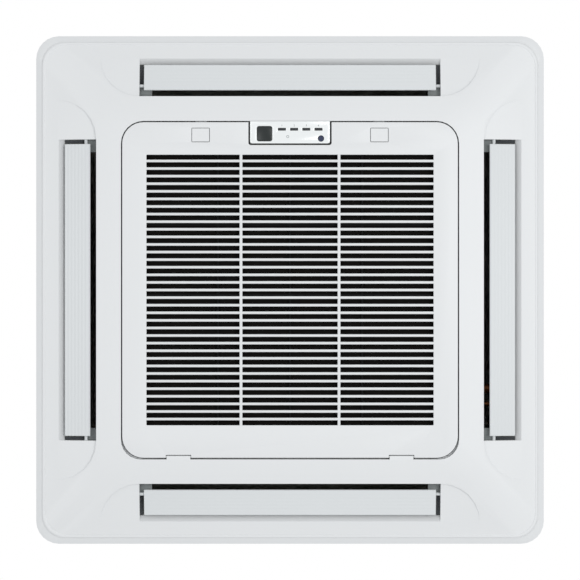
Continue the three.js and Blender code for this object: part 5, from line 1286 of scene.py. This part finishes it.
@dataclass
class Casing(Assembly):
    """The sheet-metal casing, its lining, brackets, cover plates and screws."""

    half: float = 285.0
    chamfer: float = 70.0
    side_rows: Pair = (33.0, 269.0)
    side_places: Triple = (-170.0, 0.0, 170.0)
    corner_places: Pair = (-36.0, 36.0)
    top_z: float = 278.0
    top_rings: Pair = (62.0, 273.0)
    seam_width: float = 9.0
    seam_cover: float = 8.1
    seam_root: float = 0.4
    seam_rise: float = 0.7
    seam_corner: float = 0.3
    seam_z: Pair = (26.0, 276.0)

    @property
    def corner_apothem(self) -> float:
        """Distance of the chamfered corners' faces from the axis."""
        return (2 * self.half - self.chamfer) / math.sqrt(2)

    def build(self) -> None:
        """Builds the casing's pieces."""
        self.round_off(ZINC, SOFT, "casing_shell")
        self.round_off(FOAM, WIDE, "casing_insulation")
        self.round_off(ZINC, SOFT, "fresh_air_cover")
        brackets = [f"hanger_bracket_{number}" for number in range(1, 5)]
        self.round_off(ZINC, PLAIN, "pipe_cover_plate", *brackets)
        self.build_seams()
        self.build_screws()

    def build_seams(self) -> None:
        """Builds the folded strips where the side sheets overlap the corners."""
        across = (self.half - self.seam_root, self.half + self.seam_rise)
        edge = self.half - self.chamfer - self.seam_width
        strips = []
        for quarter in range(4):
            for sign in (-1, 1):
                span = sorted((sign * edge, sign * (edge + self.seam_cover)))
                strip = plate([rectangle(*across, *span, self.seam_corner)], *self.seam_z, FINE)
                strips.append(fused([strip], quarter))
        place_piece("casing_seams", fused(strips), ZINC, "unit")

    def build_screws(self) -> None:
        """Builds the rows of screws on the casing's sides, corners and top."""
        screws = Copies("casing_screws", Screw().head(), STEEL)
        for side in (0, 90, 180, 270):
            for z in self.side_rows:
                for along in self.side_places:
                    screws.add_on_side(self.half, along, z, side)
                for along in self.corner_places:
                    screws.add_on_side(self.corner_apothem, along, z, side + 45)
            for radius in self.top_rings:
                spot = heading(math.radians(side + 45)) * radius
                screws.add(spot.x, spot.y, self.top_z)
        screws.build("unit")


# ---- Coil and pipes ----


@dataclass
class Coil(Assembly):
    """The wrapped coil: thin fins across a path round the fan, and the tubes through them."""

    half: float = 191.0
    corner: float = 45.0
    open_at: float = 118.0
    thick: float = 30.0
    low: float = 38.3
    high: float = 250.0
    fin_pitch: float = 3.0
    fin_sheet: float = 0.35
    rows: int = 8
    row_low: float = 54.0
    column: float = 8.0
    tube_radius: float = 4.6
    tube_step: float = 14.0
    tube_past: float = 5.0
    bend_steps: int = 8

    def path(
        self, step: float, past: float = 0.0, aside: float = 0.0
    ) -> list[tuple[Vector, float]]:
        """Points along the coil, each with the angle of the outward direction across it.

        Args:
            step: Distance between points.
            past: How far the path runs past both ends.
            aside: How far the path lies outside the coil's middle.

        Returns:
            Pairs of a point and an angle in radians.
        """
        straight, reach = self.half - self.corner, self.corner + aside
        first = self.open_at + past + straight
        bend_count = max(2, round(reach * QUARTER / step))
        found: list[tuple[Vector, float]] = []
        spot, facing = Vector((self.open_at + past, self.half + aside, 0)), QUARTER
        for length in (first, 2 * straight, 2 * straight, first):
            if found:
                centre = spot - heading(facing) * reach
                for i in range(bend_count):
                    angle = facing + QUARTER * i / bend_count
                    found.append((centre + heading(angle) * reach, angle))
                facing += QUARTER
                spot = centre + heading(facing) * reach
            count = max(1, round(length / step))
            along = heading(facing + QUARTER) * length
            found += [(spot + along * (i / count), facing) for i in range(count)]
            spot = spot + along
        return [*found, (spot, facing)]

    def build(self) -> None:
        """Builds the fins, tubes and end plates."""
        fin = centred(0, 0, (self.thick, self.fin_sheet))
        fins = Copies("coil_fins_dressed", plate([fin], self.low, self.high, 0), FINS)
        for spot, facing in self.path(self.fin_pitch):
            fins.add(spot.x, spot.y, 0, (0, 0, math.degrees(facing)))
        fins.build("unit", ["coil_fins"])
        place_piece("coil_tubes", fused(self.tubes()), COPPER, "unit")
        self.round_off(ZINC, FINE, "coil_end_plate_rear", "coil_end_plate_right")

    def tubes(self) -> list[Mesh]:
        """The tubes through the fins, and the bends that join pairs at the coil's rear end."""
        pitch = (self.high + self.low - 2 * self.row_low) / (self.rows - 1)
        made = []
        for row in range(self.rows):
            lift = Vector((0, 0, self.row_low + row * pitch))
            for aside in (-self.column, self.column):
                line = [spot + lift for spot, _ in self.path(self.tube_step, self.tube_past, aside)]
                made.append(tube(line, self.tube_radius))
        for pair in range(self.rows // 2):
            middle = self.row_low + (2 * pair + 0.5) * pitch
            for aside in (-self.column, self.column):
                line = []
                for i in range(self.bend_steps + 1):
                    arc = heading(math.pi * (i / self.bend_steps - 0.5)) * (pitch / 2)
                    x = self.open_at + self.tube_past + arc.x
                    line.append(Vector((x, self.half + aside, middle + arc.y)))
                made.append(tube(line, self.tube_radius))
        return made


@dataclass
class Pipes(Assembly):
    """Refrigerant pipes with their nuts, and the drain's pump, tube, pan and float."""

    def build(self) -> None:
        """Builds the pipes and the drain's parts."""
        self.round_off(COPPER, SMALL, "gas_pipe", "liquid_pipe")
        self.round_off(BRASS, SOFT, "gas_flare_nut", "liquid_flare_nut")
        self.round_off(FOAM, WIDE, "drain_pan")
        self.round_off(BLACK, SOFT, "drain_pump")
        self.round_off(GREY, FINE, "pump_impeller")
        self.round_off(PIPE, SMALL, "drain_tube")
        self.round_off(GREY, SMALL, "float_switch")
        self.round_off(FLOAT, PLAIN, "float")


# ---- Fan and electrics ----


@dataclass
class FanSet(Assembly):
    """The bell mouth, fan, nut, shaft, motor and mount."""

    ring_radius: float = 163.0
    ring_z: float = 19.5
    ring_screws: int = 8

    def build(self) -> None:
        """Builds the fan's pieces."""
        self.round_off(WHITE, PLAIN, "bell_mouth")
        self.round_off(GREY, PLAIN, "turbo_fan")
        self.round_off(STEEL, SMALL, "motor_shaft")
        self.round_off(STEEL, SOFT, "fan_nut")
        self.round_off(MOTOR, WIDE, "fan_motor")
        self.round_off(ZINC, SMALL, "motor_mount")
        screws = Copies("bell_mouth_screws", Screw().head(), STEEL)
        for k in range(self.ring_screws):
            spot = heading(2 * math.pi * (k + 0.5) / self.ring_screws) * self.ring_radius
            screws.add(spot.x, spot.y, self.ring_z, (180, 0, 0))
        screws.build("unit")


@dataclass
class Electrics(Assembly):
    """The electric box under the casing, its lid and boards."""

    def build(self) -> None:
        """Builds the electric box's pieces."""
        self.round_off(ZINC, PLAIN, "electric_box", "electric_box_lid")
        self.round_off(BOARD, FINE, "control_board")
        self.round_off(BLACK, SMALL, "terminal_block")


# ---- Studio ----


@dataclass
class Studio:
    """White surroundings, soft key and fill lights, a pale floor and the camera under the panel.

    Sizes and places are in metres. floor_glow is what the camera sees on top of the light on the
    floor, and picture_width is the width that the picture covers at the panel.
    """

    ambient: float = 0.61
    ambient_tint: Triple = (0.97, 0.985, 1.0)
    key_watts: float = 23.0
    key_place: Triple = (1.05, -0.12, -2.65)
    fill_watts: float = 10.0
    fill_place: Triple = (-1.05, -0.05, -2.65)
    light_size: float = 1.1
    floor_z: float = -9.0
    floor_half: float = 5.0
    floor_tone: float = 0.86
    floor_grain: float = 40.0
    floor_relief: float = 0.0001
    floor_roughness: float = 0.9
    floor_glow: float = 0.52
    distance: float = 3.0
    picture_width: float = 0.740
    sensor: float = 36.0
    clip: Pair = (0.05, 50.0)

    def build(self) -> None:
        """Builds the surroundings, floor, light and camera."""
        self.build_world()
        self.build_floor()
        self.build_light("key", self.key_place, self.key_watts)
        self.build_light("fill", self.fill_place, self.fill_watts)
        self.build_camera()
        bpy.context.scene.view_settings.view_transform = "Standard"

    def build_world(self) -> None:
        """Makes the background white to the camera and in reflections, and softer as a light."""
        world = bpy.data.worlds.new("surroundings")
        bpy.context.scene.world = world
        world.use_nodes = True
        tree = world.node_tree
        light = tree.nodes["Background"]
        feed(tree, light, {"Color": (*self.ambient_tint, 1.0), "Strength": self.ambient})
        white = add_node(tree, "ShaderNodeBackground", {"Color": (1.0, 1.0, 1.0, 1.0)})
        shaders = {1: light.outputs["Background"], 2: white.outputs["Background"]}
        choice = add_node(tree, "ShaderNodeMixShader", {"Fac": self.seen_rays(tree), **shaders})
        feed(tree, tree.nodes["World Output"], {"Surface": choice.outputs["Shader"]})

    def seen_rays(self, tree: Tree) -> Socket:
        """A socket that is 1 for rays that show things: camera, glossy and transmission rays."""
        path = add_node(tree, "ShaderNodeLightPath").outputs
        seen = calculate(tree, "MAXIMUM", path["Is Camera Ray"], path["Is Glossy Ray"])
        return calculate(tree, "MAXIMUM", seen, path["Is Transmission Ray"])

    def build_floor(self) -> None:
        """Builds the pale floor far below, which keeps its shadow and looks white to the camera."""
        material = bpy.data.materials.new("pale_floor")
        material.use_nodes = True
        tree = material.node_tree
        place = add_node(tree, "ShaderNodeTexCoord").outputs["Object"]
        grain = add_node(tree, "ShaderNodeTexNoise", {"Vector": place, "Scale": self.floor_grain})
        relief = {"Height": grain.outputs["Fac"], "Distance": self.floor_relief}
        relief = add_node(tree, "ShaderNodeBump", relief).outputs["Normal"]
        shader = tree.nodes["Principled BSDF"]
        values = {
            "Base Color": (*[self.floor_tone] * 3, 1.0),
            "Roughness": self.floor_roughness,
            "Normal": relief,
        }
        feed(tree, shader, values)
        strength = calculate(tree, "MULTIPLY", self.seen_rays(tree), self.floor_glow)
        glow = add_node(tree, "ShaderNodeEmission", {"Strength": strength})
        parts = {0: shader.outputs["BSDF"], 1: glow.outputs["Emission"]}
        both = add_node(tree, "ShaderNodeAddShader", parts).outputs["Shader"]
        feed(tree, tree.nodes["Material Output"], {"Surface": both})
        mesh = bpy.data.meshes.new("floor")
        h, z = self.floor_half, self.floor_z
        mesh.from_pydata([(-h, -h, z), (h, -h, z), (h, h, z), (-h, h, z)], [], [(0, 1, 2, 3)])
        mesh.materials.append(material)
        add_object("floor", mesh)

    def build_light(self, name: str, place: Triple, watts: float) -> None:
        """Builds a soft square light, aimed at the panel.

        Args:
            name: Name of the light.
            place: Where it stands.
            watts: Its power.
        """
        light = bpy.data.lights.new(name, "AREA")
        light.shape = "SQUARE"
        light.size = self.light_size
        light.energy = watts
        holder = add_object(name, light)
        holder.location = place
        holder.rotation_euler = (-Vector(place)).to_track_quat("-Z", "Y").to_euler()

    def build_camera(self) -> None:
        """Builds the camera, which looks straight up with the display's side at the top."""
        camera = bpy.data.cameras.new("camera")
        camera.sensor_width = self.sensor
        camera.lens = self.sensor * self.distance / self.picture_width
        camera.clip_start, camera.clip_end = self.clip
        holder = add_object("camera", camera)
        holder.location = (0, 0, -self.distance)
        holder.rotation_euler = (math.pi, 0, 0)
        bpy.context.scene.camera = holder


ASSEMBLIES: tuple[type[Assembly], ...] = (
    Panel, FlapSet, Ducts, GrilleLeaf, LatchPair, FilterSet,
    Display, Casing, Coil, Pipes, FanSet, Electrics,
)


def main() -> None:
    """Loads the frame, dresses every assembly and sets the studio."""
    logging.basicConfig(level=logging.INFO, format="%(name)s %(message)s")
    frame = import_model()
    for assembly in ASSEMBLIES:
        LOG.info("building %s", assembly.__name__)
        assembly(frame).build()
    Studio().build()


if __name__ == "__main__":
    main()
